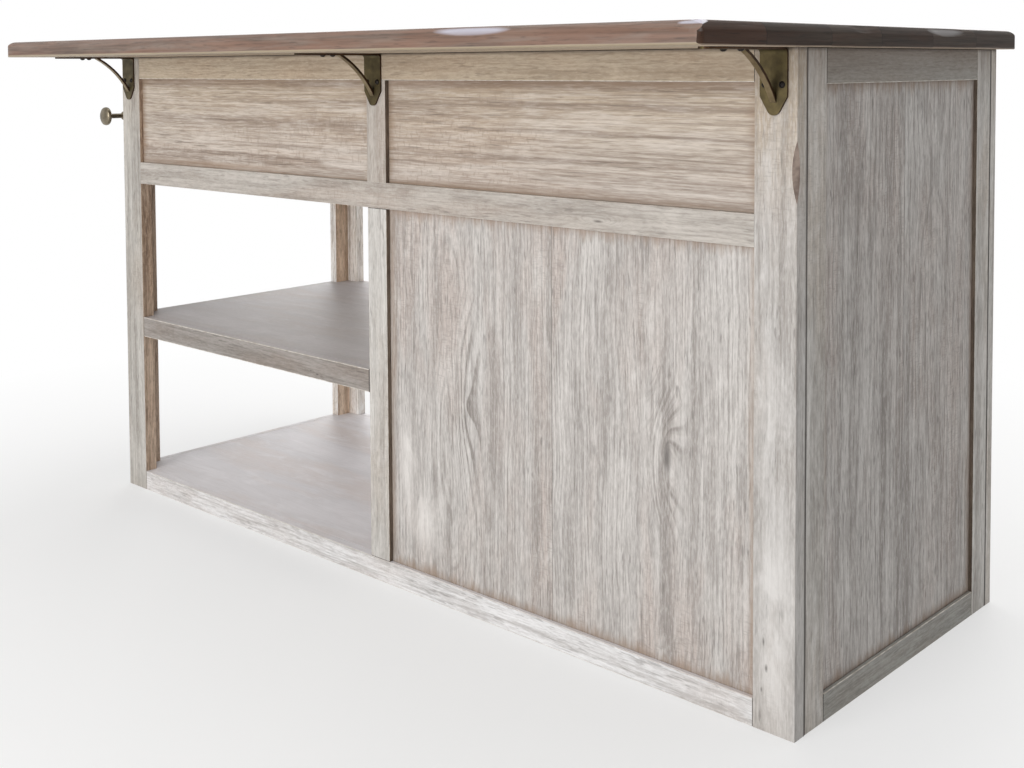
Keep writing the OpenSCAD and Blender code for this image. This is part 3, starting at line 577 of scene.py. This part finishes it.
# a lighter copy of the middle shelf's tones, for the bottom board and the rails' tops beside it: painted
# light
SHELF_PAINTED_LIGHT_TONES = (tone(236, 233, 235), tone(222, 218, 219), tone(196, 188, 185), tone(225, 214, 209))
MIDDLE_SHELF_TONES = (tone(188, 183, 184), tone(173, 167, 167), tone(151, 142, 139), tone(177, 164, 158))
BOARD_EASE = 0.0008
LACQUERED = {"figure": 0.15, "contrast": 0.12, "gloss": 0.53}
shelf_wood = limed_wood("shelf_wood", "X", "Y", SHELF_PAINTED_LIGHT_TONES, **LACQUERED)
middle_shelf_wood = limed_wood("middle_shelf_edge_wood", "X", "Y", MIDDLE_SHELF_TONES, **LACQUERED)
RAIL_TONES = (tone(185, 179, 172), tone(165, 157, 149), tone(128, 119, 110), tone(168, 154, 143))
EDGE_RAIL_TONES = (tone(152, 146, 141), tone(135, 128, 122), tone(104, 96, 89), tone(139, 126, 116))
MIDDLE_TONES = (tone(199, 196, 192), tone(179, 175, 169), tone(134, 127, 120), tone(183, 171, 159))
SHELF_KNOTS = ((0.325, -0.166, 0.008, 0.022, 0.8), (0.329, -0.184, 0.006, 0.016, 0.7))
SHELF_FROM = 0.3
RAIL_KNOT = (0.643, 0.468, 0.012, 0.05, 0.8)
for node, along, across, tones, shade_under_top, knots in (
        ("back_top_rail", "X", "Z", TOP_RAIL_WARM_AND_SHADED_TONES, 0.15, ()),
        ("back_middle_rail", "X", "Z", RAIL_TONES, 0, (RAIL_KNOT,)),
        ("back_bottom_rail", "X", "Z", LOW_RAIL_PAINTED_LIGHT_TONES, 0, ()),
        ("back_shelf_rail", "X", "Z", EDGE_RAIL_TONES, 0, SHELF_KNOTS),
        ("front_top_rail", "X", "Z", TOP_RAIL_WARM_AND_SHADED_TONES, 0.15, ()),
        ("front_middle_rail", "X", "Z", FRAME_TONES, 0, ()),
        ("front_bottom_rail", "X", "Z", LOW_RAIL_PAINTED_LIGHT_TONES, 0, ()),
        ("front_shelf_rail", "X", "Z", FRAME_TONES, 0, ()),
        ("right_end_rails", "Y", "Z", END_RAIL_TONES, 0.65, ()),
        ("left_end_rails", "Y", "Z", END_RAIL_TONES, 0.3, ()),
        ("back_upper_middle_stile", "Z", "X", RAIL_TONES, 0.2, ()),
        ("back_lower_middle_stile", "Z", "X", MIDDLE_TONES, 0, ()),
        ("front_middle_stiles", "Z", "X", FRAME_TONES, 0.2, ())):
    wood = limed_wood(node + "_wood", along, across, tones, knots=knots, shade_under_top=shade_under_top, figure=0.35,
                      contrast=0.85 if "bottom" in node else 0.7)
    piece = refined(node, EASE, wood, worn_and_highlit_edge, joint_stain_and_shade)
    if along == "Z":
        painted(piece, end_inner_edge_stain_and_shade, lambda face: abs(face.normal.x) > SQUARE_ON)
    if "bottom" in node or "left" in node:
        painted(piece, shelf_wood, lambda face: face.normal.z > SQUARE_ON)
    if "shelf" in node or "left" in node:
        painted(piece, middle_shelf_wood,
                lambda face: face.normal.z > SQUARE_ON and face.center.z > SHELF_FROM)
    fitted(piece, node)

# ---------------------------------------------------------------------------------------------
# Panels: thin limed boards that ride in the frames' grooves. The aprons have level grain and a
# warmer, streakier colour; the tall ones are glued from upright boards.
GROOVE = 0.007


def opening_of(node):
    """What shows of a panel between its frame's members."""
    low, high = (list(corner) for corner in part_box(node))
    for i in range(3):
        if high[i] - low[i] > THICKEST_PANEL:
            low[i] += GROOVE
            high[i] -= GROOVE
    return low, high


APRON_TONES = (tone(197, 189, 181), tone(178, 168, 159), tone(124, 107, 93), tone(180, 163, 150))
# the first stripe, along the whole apron just under the top rail, is stain with painted shade under the rail
APRON_STRIPES_AND_SHADE = ((0.836, 0.2, 0.010, 3), (0.804, 0.4, 0.008, 1.2), (0.766, 0.6, 0.006, 0.5),
                 (0.724, 0.3, 0.007, 0.9), (0.690, -0.3, 0.006, 0.7))
for node, along in (("back_left_apron_panel", "X"), ("back_right_apron_panel", "X"),
                    ("left_end_apron_panel", "Y")):
    wood = limed_wood(node + "_wood", along, "Z", APRON_TONES, ((0, 1.05, 0.02),), (), APRON_STRIPES_AND_SHADE, (),
                      opening_of(node), honey_and_shade=0.75, figure=0.45, contrast=0.9, drawn=2.4)
    fitted(refined(node, 0, wood), node)

PANEL_TONES = (tone(196, 192, 188), tone(176, 171, 167), tone(134, 127, 122), tone(182, 168, 160))
BACK_BOARDS = ((0.0, 0.16, 0.05), (0.373, 0.56, 0.04))
BACK_KNOTS = ((0.582, 0.325, 0.040, 0.14, 0.9), (0.195, 0.330, 0.046, 0.19, 0.1))
BACK_WAX = ((0.102, 0.125, 0.055, 0.075), (0.060, 0.22, 0.024, 0.12))
BACK_STRIPES = ((0.481, 0.565, 0.012, 0.10), (0.474, 0.40, 0.010, 0.16), (0.30, 0.45, 0.010, 0.22),
                (0.13, 0.50, 0.008, 0.16), (0.655, 0.30, 0.010, 0.2), (0.345, 0.2, 0.012, 0.2))
END_BOARDS = ((-0.3, -0.14, 0.05), (0.003, 0.10, 0.03))
END_STRIPES = ((-0.121, 0.707, 0.008, 0.06), (-0.098, 0.609, 0.010, 0.09), (0.05, 0.40, 0.010, 0.25),
               (0.14, 0.55, 0.009, 0.2), (0.19, 0.2, 0.010, 0.18), (-0.18, 0.3, 0.009, 0.2))
for node, across, boards, knots, stripes, contrast in (
        ("back_cupboard_panel", "X", BACK_BOARDS, BACK_KNOTS, BACK_STRIPES, 0.9),
        ("right_end_panel", "Y", END_BOARDS, (), END_STRIPES, 1.15)):
    wood = limed_wood(node + "_wood", "Z", across, PANEL_TONES, boards, knots, stripes,
                      BACK_WAX if across == "X" else (), opening_of(node), figure=0.75, contrast=contrast)
    fitted(refined(node, 0, wood), node)

# ---------------------------------------------------------------------------------------------
# Shelves, bottom board, partition, bearer and runners: boards with a dull lacquer, which mirrors
# the white room at a low angle.
INNER_TONES = (tone(160, 156, 158), tone(143, 138, 139), tone(120, 111, 108), tone(147, 135, 130))
PARTITION_TONES = (tone(234, 231, 229), tone(220, 216, 213), tone(192, 184, 178), tone(222, 212, 204))
# the bottom board takes the lighter tones, as painted light
for node, along, across, tones in (
        ("bottom_bearer", "Y", "X", INNER_TONES), ("bottom_board", "X", "Y", SHELF_PAINTED_LIGHT_TONES),
        ("middle_shelf", "X", "Y", MIDDLE_SHELF_TONES), ("cupboard_shelf", "X", "Y", INNER_TONES),
        ("bay_partition", "Z", "Y", PARTITION_TONES), ("drawer_runners", "Y", "X", INNER_TONES)):
    wood = limed_wood(node + "_wood", along, across, tones, **LACQUERED)
    fitted(refined(node, BOARD_EASE, wood), node)

# ---------------------------------------------------------------------------------------------
# Drawers: fronts of the frames' wood, with pale unstained boxes whose dovetails lap into them.
BOX_EASE = 0.0006
BOX_TONES = (tone(206, 192, 170), tone(188, 172, 149), tone(152, 132, 108), tone(194, 171, 143))
for side in ("left", "right"):
    front_wood = limed_wood(side + "_drawer_front_wood", "X", "Z", APRON_TONES, ((0, 1.05, 0.02),),
                            honey_and_shade=0.5, figure=0.5)
    fitted(refined(side + "_drawer_front", EASE, front_wood, worn_and_highlit_edge, joint_stain_and_shade),
           side + "_drawer_front")
    box_wood = limed_wood(side + "_drawer_box_wood", "Y", "Z", BOX_TONES, figure=0.35, contrast=0.5)
    back_wood = limed_wood(side + "_drawer_back_wood", "X", "Z", BOX_TONES, figure=0.35, contrast=0.5)
    bottom_wood = limed_wood(side + "_drawer_bottom_wood", "X", "Y", BOX_TONES, figure=0.35, contrast=0.5)
    for part, wood in (("sides", box_wood), ("back", back_wood), ("bottom", bottom_wood)):
        fitted(refined(f"{side}_drawer_{part}", BOX_EASE, wood), f"{side}_drawer_{part}")

# ---------------------------------------------------------------------------------------------
# Doors: a frame of limed boards round a floating panel, two of them over the cupboard.
RINGS_ASIDE = 0.06
for side in ("left", "right"):
    for part, along, across in (("stiles", "Z", "X"), ("rails", "X", "Z")):
        node = f"{side}_door_{part}"
        wood = limed_wood(node + "_wood", along, across, FRAME_TONES, figure=0.35, contrast=0.8)
        fitted(refined(node, EASE, wood, worn_and_highlit_edge, joint_stain_and_shade), node)
    node = side + "_door_panel"
    low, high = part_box(node)
    middle = (low[0] + high[0]) / 2
    wood = limed_wood(node + "_wood", "Z", "X", PANEL_TONES, ((0, middle - RINGS_ASIDE, 0.05),),
                      opening=opening_of(node), figure=0.55)
    fitted(refined(node, 0, wood), node)

# ---------------------------------------------------------------------------------------------
# Worktop: a thick slab of six brown boards glued edge to edge, worn hollow here and there along its
# upper edge, where bare grey wood shows. The end grain has taken the stain almost black, and the
# underside and the lower edge are limed like the frames.
SLAB_LOW, SLAB_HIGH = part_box("worktop")
ARRIS_R = 0.014
CHIP_DEPTH = 0.0078
CHIP_SLOPE = 0.2
STAINED_HOLLOWS = ((-0.640, -0.536), (0.808, -0.160))
# Each board of the slab: its first edge, how far its grain is shifted, and how much darker it is.
TOP_BOARDS = ((-0.55, 0, 0), (-0.402, 3.7, 0.3), (-0.250, 9.1, 0.05), (-0.118, 14.3, 0.4),
              (0.034, 21.7, 0.12), (0.178, 27.9, 0.34))
# The brown wood's markings, given as the limed wood's are.
TOP_STREAK = (5.0, 190, 4, 0.65, 0.3)
TOP_BAND = (2.4, 60, 4, 0.6, 0.8)
TOP_TINT = (3.0, 26, 3, 0.55, 0.6)
TOP_HAZE = (4.4, 70, 5, 0.6, 0.3)
TOP_PORES = (30, 420, 2, 0.5)
TOP_GLUE_LINE = 0.0007
RAGGED = 0.0006
BARELY = 0.0002
SLIVER_HEIGHTS = (0.0085, 0.0105)
SLIVER_FROM_END = (0.045, 0.06)
HOLLOW_REACH = 0.1


def brown_wood(name, along, light, dark, red, grey, worn, chipped, limed, limed_height, at_corner,
               shine, gloss=0.46):
    """Stained boards, each of its own tone, worn bare in the hollows of the upper edge and limed
    along the lowest part of the edge. The corner near the camera is chipped down to pale wood.
    at_corner is 1 where a hollow is bare right to the slab's end."""
    material, tree = new_material(name)
    parts = add(tree, "SeparateXYZ", {0: add(tree, "TexCoord").outputs["Object"]}).outputs
    shifted = calc(tree, "ADD", parts[AXES[along]], per_board(tree, parts[1], TOP_BOARDS, 1))
    place = add(tree, "CombineXYZ", {0: parts[1 - AXES[along]], 1: parts[2], 2: shifted}).outputs[0]
    streak = drawn_noise(tree, place, *TOP_STREAK)
    band = drawn_noise(tree, place, *TOP_BAND)
    tint = drawn_noise(tree, place, *TOP_TINT)
    haze = drawn_noise(tree, place, *TOP_HAZE)
    pores = drawn_noise(tree, place, *TOP_PORES)
    colour = blended(tree, spread(tree, streak, 0.36, 0.66), light, dark)
    for marks, starts, full, strength, mark_tone in (
            (tint, 0.42, 0.6, 0.65, red), (haze, 0.48, 0.64, 0.7, grey),
            (band, 0.5, 0.68, 0.75, dark), (pores, 0.56, 0.7, 0.5, scaled(dark, 0.55))):
        colour = blended(tree, spread(tree, marks, starts, full, 0, strength), colour, mark_tone)
    colour = blended(tree, per_board(tree, parts[1], TOP_BOARDS, 2), colour, dark)
    for edge, *_ in TOP_BOARDS[1:]:
        line = calc(tree, "COMPARE", parts[1], edge, TOP_GLUE_LINE)
        colour = blended(tree, calc(tree, "MULTIPLY", line, 0.7), colour, scaled(dark, 0.4))

    # a hollow lies inside the round of the upper edge, and is worn more the deeper it is
    from_left = calc(tree, "SUBTRACT", parts[0], SLAB_LOW[0])
    from_right = calc(tree, "SUBTRACT", SLAB_HIGH[0], parts[0])
    from_back = calc(tree, "SUBTRACT", parts[1], SLAB_LOW[1])
    from_front = calc(tree, "SUBTRACT", SLAB_HIGH[1], parts[1])
    nearest = calc(tree, "MINIMUM", calc(tree, "MINIMUM", from_left, from_right),
                   calc(tree, "MINIMUM", from_back, from_front))
    across = calc(tree, "MAXIMUM", calc(tree, "SUBTRACT", ARRIS_R, nearest), 0.0)
    up = calc(tree, "MAXIMUM", calc(tree, "SUBTRACT", parts[2], SLAB_HIGH[2] - ARRIS_R), 0.0)
    reach = calc(tree, "SQRT", calc(tree, "ADD", calc(tree, "POWER", across, 2), calc(tree, "POWER", up, 2)))
    ragged = spread(tree, haze, 0.3, 0.7, RAGGED, -RAGGED)
    worn_by = calc(tree, "ADD", calc(tree, "SUBTRACT", ARRIS_R, reach), ragged)
    on_round = calc(tree, "MULTIPLY", calc(tree, "GREATER_THAN", across, BARELY),
                    calc(tree, "GREATER_THAN", up, BARELY))
    bare = calc(tree, "MULTIPLY", spread(tree, worn_by, 0.0004, 0.0022), on_round)
    bare = calc(tree, "MULTIPLY", bare, spread(tree, up, 0.002, 0.009, 0.35, 1))
    sliver = calc(tree, "MAXIMUM", spread(tree, up, *SLIVER_HEIGHTS),
                  spread(tree, from_right, *SLIVER_FROM_END))
    bare = calc(tree, "MULTIPLY", bare, calc(tree, "MAXIMUM", sliver, at_corner))
    for x, y in STAINED_HOLLOWS:
        apart = apart_from(tree, parts[0], parts[1], x, y, HOLLOW_REACH, HOLLOW_REACH)
        bare = calc(tree, "MULTIPLY", bare, calc(tree, "GREATER_THAN", apart, 1.0))
    colour = blended(tree, bare, colour, worn)

    # the chip is deepest at the corner, and runs out along both edges
    chip = calc(tree, "MULTIPLY_ADD", calc(tree, "ADD", from_right, from_back), -CHIP_SLOPE, CHIP_DEPTH)
    chip = calc(tree, "SUBTRACT", chip, calc(tree, "SUBTRACT", SLAB_HIGH[2], parts[2]))
    chip = spread(tree, calc(tree, "ADD", chip, ragged), 0, 0.0008)
    chip = calc(tree, "MULTIPLY", chip, calc(tree, "GREATER_THAN", across, BARELY))
    colour = blended(tree, chip, colour, chipped)
    low = calc(tree, "ADD", parts[2], spread(tree, haze, 0.3, 0.7, -RAGGED, RAGGED))
    limed_to = SLAB_LOW[2] + limed_height
    colour = blended(tree, spread(tree, low, limed_to + 0.0004, limed_to - 0.0004), colour, limed)

    bump = add(tree, "Bump", {"Height": streak, "Strength": 0.3, "Distance": 0.0006})
    skin = add(tree, "BsdfPrincipled", {
        "Base Color": colour, "Roughness": spread(tree, streak, 0.3, 0.7, gloss - 0.05, gloss + 0.1),
        "Specular IOR Level": shine, "Normal": bump.outputs[0]})
    add(tree, "OutputMaterial", {"Surface": skin.outputs[0]})
    return material


END_FACE = 0.25
# the worn and chipped tones carry a lilac tint that is a painted reflection of the white room
top_wood = brown_wood(
    "top_wood", "X", light=tone(128, 104, 89), dark=tone(78, 61, 50), red=tone(121, 88, 71),
    grey=tone(123, 110, 100), worn=tone(180, 177, 188), chipped=tone(194, 190, 202),
    limed=tone(150, 135, 113), limed_height=0.0035, at_corner=0.0, shine=0.5)
# on the end the chipped tone is far lighter than on the top, as painted light against the end's shade
end_wood = brown_wood(
    "end_wood", "Y", light=tone(61, 47, 36), dark=tone(32, 25, 19), red=tone(68, 43, 30),
    grey=tone(58, 49, 40), worn=tone(128, 125, 124), chipped=tone(246, 243, 250),
    limed=tone(134, 118, 104), limed_height=0.0016, at_corner=1.0, shine=0.2, gloss=0.6)
# the underside takes the top rails' tones, with their painted shade
under_wood = limed_wood("under_wood", "X", "Y", TOP_RAIL_WARM_AND_SHADED_TONES)
slab = refined("worktop", 0, top_wood, round_from=16)
painted(slab, end_wood, lambda face: face.normal.x * math.copysign(1, face.center.x) > END_FACE
        and abs(face.center.x) > SLAB_HIGH[0] - ARRIS_R)
painted(slab, under_wood, lambda face: face.normal.z < -SQUARE_ON)
fitted(slab, "worktop")

# ---------------------------------------------------------------------------------------------
# Brackets, hinges and knobs of aged bronze, and the towel bar of brass gone grey. The brackets' cut edges
# are painted darker than their faces, as painted shade, and the struts are a lighter copy of the bronze, as
# painted light.
PATCHES_PER_METRE = 45.0
GRIT_PER_METRE = 900.0
CUT_EDGE = 0.35
ROUND_FROM = 28
HINGE_EASE = 0.0002
BRACKET_EASE = 0.0004


def aged_metal(name, bright, dull, gloss, metal):
    """Rubbed metal in cloudy patches of two tones, with a fine grit. gloss is its roughness."""
    material, tree = new_material(name)
    coordinates = add(tree, "TexCoord").outputs["Object"]
    cloud = add(tree, "TexNoise", {"Vector": coordinates, "Scale": PATCHES_PER_METRE, "Detail": 5.0,
                                   "Roughness": 0.6}).outputs[0]
    grit = add(tree, "TexNoise", {"Vector": coordinates, "Scale": GRIT_PER_METRE,
                                  "Detail": 2.0}).outputs[0]
    colour = blended(tree, spread(tree, cloud, 0.35, 0.65), bright, dull)
    bump = add(tree, "Bump", {"Height": grit, "Strength": 0.15, "Distance": 0.0003})
    skin = add(tree, "BsdfPrincipled", {
        "Base Color": colour, "Metallic": metal, "Normal": bump.outputs[0],
        "Roughness": spread(tree, cloud, 0.3, 0.7, gloss - 0.08, gloss + 0.1)})
    add(tree, "OutputMaterial", {"Surface": skin.outputs[0]})
    return material


bronze = aged_metal("bronze", tone(88, 77, 48), tone(64, 55, 34), gloss=0.47, metal=0.75)
# cut edges: a darker copy of the bronze, as painted shade
bronze_edge_painted_shade = aged_metal("bronze_edge_painted_shade", tone(72, 48, 28), tone(48, 32, 20), gloss=0.5, metal=0.6)
# struts: a lighter copy of the bronze, as painted light
strut_bronze_painted_light = aged_metal("strut_bronze_painted_light", tone(140, 124, 96), tone(112, 98, 71), gloss=0.42, metal=0.85)
pewter = aged_metal("pewter", tone(134, 124, 106), tone(96, 88, 74), gloss=0.36, metal=0.9)
for node, face_metal, shaded_edge_metal in (("bracket_strips", bronze, bronze_edge_painted_shade),
                                     ("bracket_struts", strut_bronze_painted_light, bronze_edge_painted_shade)):
    piece = refined(node, BRACKET_EASE, face_metal, round_from=ROUND_FROM)
    painted(piece, shaded_edge_metal, lambda face: abs(face.normal.x) > CUT_EDGE)
    fitted(piece, node)
for node, metal, slot, ease in (
        ("left_drawer_knobs", bronze, "dark_metal", 0),
        ("right_drawer_knobs", bronze, "dark_metal", 0),
        ("left_door_knob", bronze, "dark_metal", 0),
        ("right_door_knob", bronze, "dark_metal", 0),
        ("left_door_hinge_leaves", bronze, "dark_metal", HINGE_EASE),
        ("right_door_hinge_leaves", bronze, "dark_metal", HINGE_EASE),
        ("hinge_frame_leaves", bronze, "dark_metal", HINGE_EASE),
        ("towel_bar", pewter, "pewter_metal", 0),
        ("towel_bar_posts", pewter, "pewter_metal", 0),
        ("towel_bar_finials", pewter, "pewter_metal", 0)):
    fitted(refined(node, ease, metal, round_from=ROUND_FROM), node)

# ---------------------------------------------------------------------------------------------
# Screws of the brackets: twelve round-headed wood screws of blackened steel with a cross recess,
# four in each bracket, driven through the strip into the post and the worktop.
SHANK_D = 0.0038
SHANK_L = 0.022
HEAD_D = 0.009
HEAD_H = 0.003
RECESS_L = 0.0046
RECESS_W = 0.0011
RECESS_D = 0.0015
BELOW_HEAD = 0.02
HEAD_SEGMENTS = 24
HEAD_RINGS = 12
SHANK_SIDES = 16
screw_black = aged_metal("screw_black", tone(44, 38, 34), tone(28, 24, 22), gloss=0.45, metal=0.7)


def separate_solids(node):
    """The low and high corners of each separate solid of a node."""
    mesh = bmesh.new()
    mesh.from_mesh(frame["nodes"][node].data)
    bmesh.ops.remove_doubles(mesh, verts=mesh.verts, dist=WELD)
    waiting = set(mesh.verts)
    boxes = []
    while waiting:
        found = [waiting.pop()]
        for vertex in found:
            for edge in vertex.link_edges:
                other = edge.other_vert(vertex)
                if other in waiting:
                    waiting.remove(other)
                    found.append(other)
        boxes.append([[pick(vertex.co[i] for vertex in found) for i in range(3)] for pick in (min, max)])
    mesh.free()
    return sorted(boxes)


def geometry_tree(name, **sizes):
    """An empty geometry tree with a named input for each size, in metres."""
    tree = bpy.data.node_groups.new(name, "GeometryNodeTree")
    tree.interface.new_socket("Geometry", in_out="INPUT", socket_type="NodeSocketGeometry")
    tree.interface.new_socket("Geometry", in_out="OUTPUT", socket_type="NodeSocketGeometry")
    for label in sizes:
        tree.interface.new_socket(label, in_out="INPUT", socket_type="NodeSocketFloat")
    return tree


def grow(tree, kind, inputs=None, **settings):
    """One geometry node, as add() makes a shader node."""
    node = tree.nodes.new(kind)
    for key, value in settings.items():
        setattr(node, key, value)
    for key, value in (inputs or {}).items():
        if isinstance(value, (bpy.types.NodeSocket, list)):
            for socket in value if isinstance(value, list) else [value]:
                tree.links.new(socket, node.inputs[key])
        else:
            node.inputs[key].default_value = value
    return node


screw_sizes = {"Head diameter": HEAD_D, "Head height": HEAD_H, "Shank diameter": SHANK_D,
               "Shank length": SHANK_L, "Recess length": RECESS_L, "Recess width": RECESS_W}
tree = geometry_tree("bracket_screw", **screw_sizes)
given = tree.nodes.new("NodeGroupInput").outputs
dome = grow(tree, "GeometryNodeMeshUVSphere", {"Segments": HEAD_SEGMENTS, "Rings": HEAD_RINGS,
                                               "Radius": 0.5})
dome_size = grow(tree, "ShaderNodeCombineXYZ", {0: given["Head diameter"], 1: given["Head diameter"]})
doubled = grow(tree, "ShaderNodeMath", {0: given["Head height"], 1: 2.0}, operation="MULTIPLY")
tree.links.new(doubled.outputs[0], dome_size.inputs[2])
dome = grow(tree, "GeometryNodeTransform", {"Geometry": dome.outputs[0], "Scale": dome_size.outputs[0]})
cutters = []
below = grow(tree, "GeometryNodeMeshCube", {"Size": (BELOW_HEAD, BELOW_HEAD, BELOW_HEAD)})
below = grow(tree, "GeometryNodeTransform", {"Geometry": below.outputs[0],
                                             "Translation": (0, 0, -BELOW_HEAD / 2)})
cutters.append(below.outputs[0])
for long_first in (True, False):
    sides = [given["Recess length"], given["Recess width"]]
    bar_size = grow(tree, "ShaderNodeCombineXYZ", {0: sides[not long_first], 1: sides[long_first],
                                                   2: 2 * RECESS_D})
    bar = grow(tree, "GeometryNodeMeshCube", {"Size": bar_size.outputs[0]})
    lift = grow(tree, "ShaderNodeCombineXYZ", {2: given["Head height"]})
    bar = grow(tree, "GeometryNodeTransform", {"Geometry": bar.outputs[0], "Translation": lift.outputs[0]})
    cutters.append(bar.outputs[0])
head = grow(tree, "GeometryNodeMeshBoolean", {"Mesh 1": dome.outputs[0], "Mesh 2": cutters},
            operation="DIFFERENCE")
shank_r = grow(tree, "ShaderNodeMath", {0: given["Shank diameter"], 1: 0.5}, operation="MULTIPLY")
shank = grow(tree, "GeometryNodeMeshCylinder", {"Vertices": SHANK_SIDES, "Radius": shank_r.outputs[0],
                                                "Depth": given["Shank length"]})
sunk = grow(tree, "ShaderNodeMath", {0: given["Shank length"], 1: -0.5}, operation="MULTIPLY")
drop = grow(tree, "ShaderNodeCombineXYZ", {2: sunk.outputs[0]})
shank = grow(tree, "GeometryNodeTransform", {"Geometry": shank.outputs[0], "Translation": drop.outputs[0]})
screw = grow(tree, "GeometryNodeJoinGeometry", {0: [head.outputs[0], shank.outputs[0]]})
outwards = grow(tree, "GeometryNodeInputNamedAttribute", {"Name": "outwards"}, data_type="FLOAT_VECTOR")
turned = grow(tree, "FunctionNodeAlignRotationToVector", {"Vector": outwards.outputs[0]}, axis="Z")
placed = grow(tree, "GeometryNodeInstanceOnPoints", {"Points": given["Geometry"],
                                                     "Instance": screw.outputs[0],
                                                     "Rotation": turned.outputs[0]})
solid = grow(tree, "GeometryNodeRealizeInstances", {"Geometry": placed.outputs[0]})
black = grow(tree, "GeometryNodeSetMaterial", {"Geometry": solid.outputs[0], "Material": screw_black})
result = tree.nodes.new("NodeGroupOutput")
tree.links.new(black.outputs[0], result.inputs[0])

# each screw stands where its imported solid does: into the post, or up into the worktop
seats, directions = [], []
for low, high in separate_solids("bracket_screws"):
    into_post = high[1] - low[1] > high[2] - low[2]
    axis = 1 if into_post else 2
    seat = [(low[i] + high[i]) / 2 for i in range(3)]
    seat[axis] = high[axis] - SHANK_L
    seats.append(seat)
    directions.append([0, -1, 0] if into_post else [0, 0, -1])
seat_mesh = bpy.data.meshes.new("bracket_screws.turned")
seat_mesh.from_pydata(seats, [], [])
facing = seat_mesh.attributes.new("outwards", "FLOAT_VECTOR", "POINT")
facing.data.foreach_set("vector", [part for direction in directions for part in direction])
screws = bpy.data.objects.new("bracket_screws.turned", seat_mesh)
scene.collection.objects.link(screws)
turning = screws.modifiers.new("screws", "NODES")
turning.node_group = tree
for item in tree.interface.items_tree:
    if item.item_type == "SOCKET" and item.name in screw_sizes:
        turning[item.identifier] = screw_sizes[item.name]
finished = bpy.data.meshes.new_from_object(screws.evaluated_get(bpy.context.evaluated_depsgraph_get()))
screws.modifiers.clear()
screws.data = finished
fitted(screws, "bracket_screws")
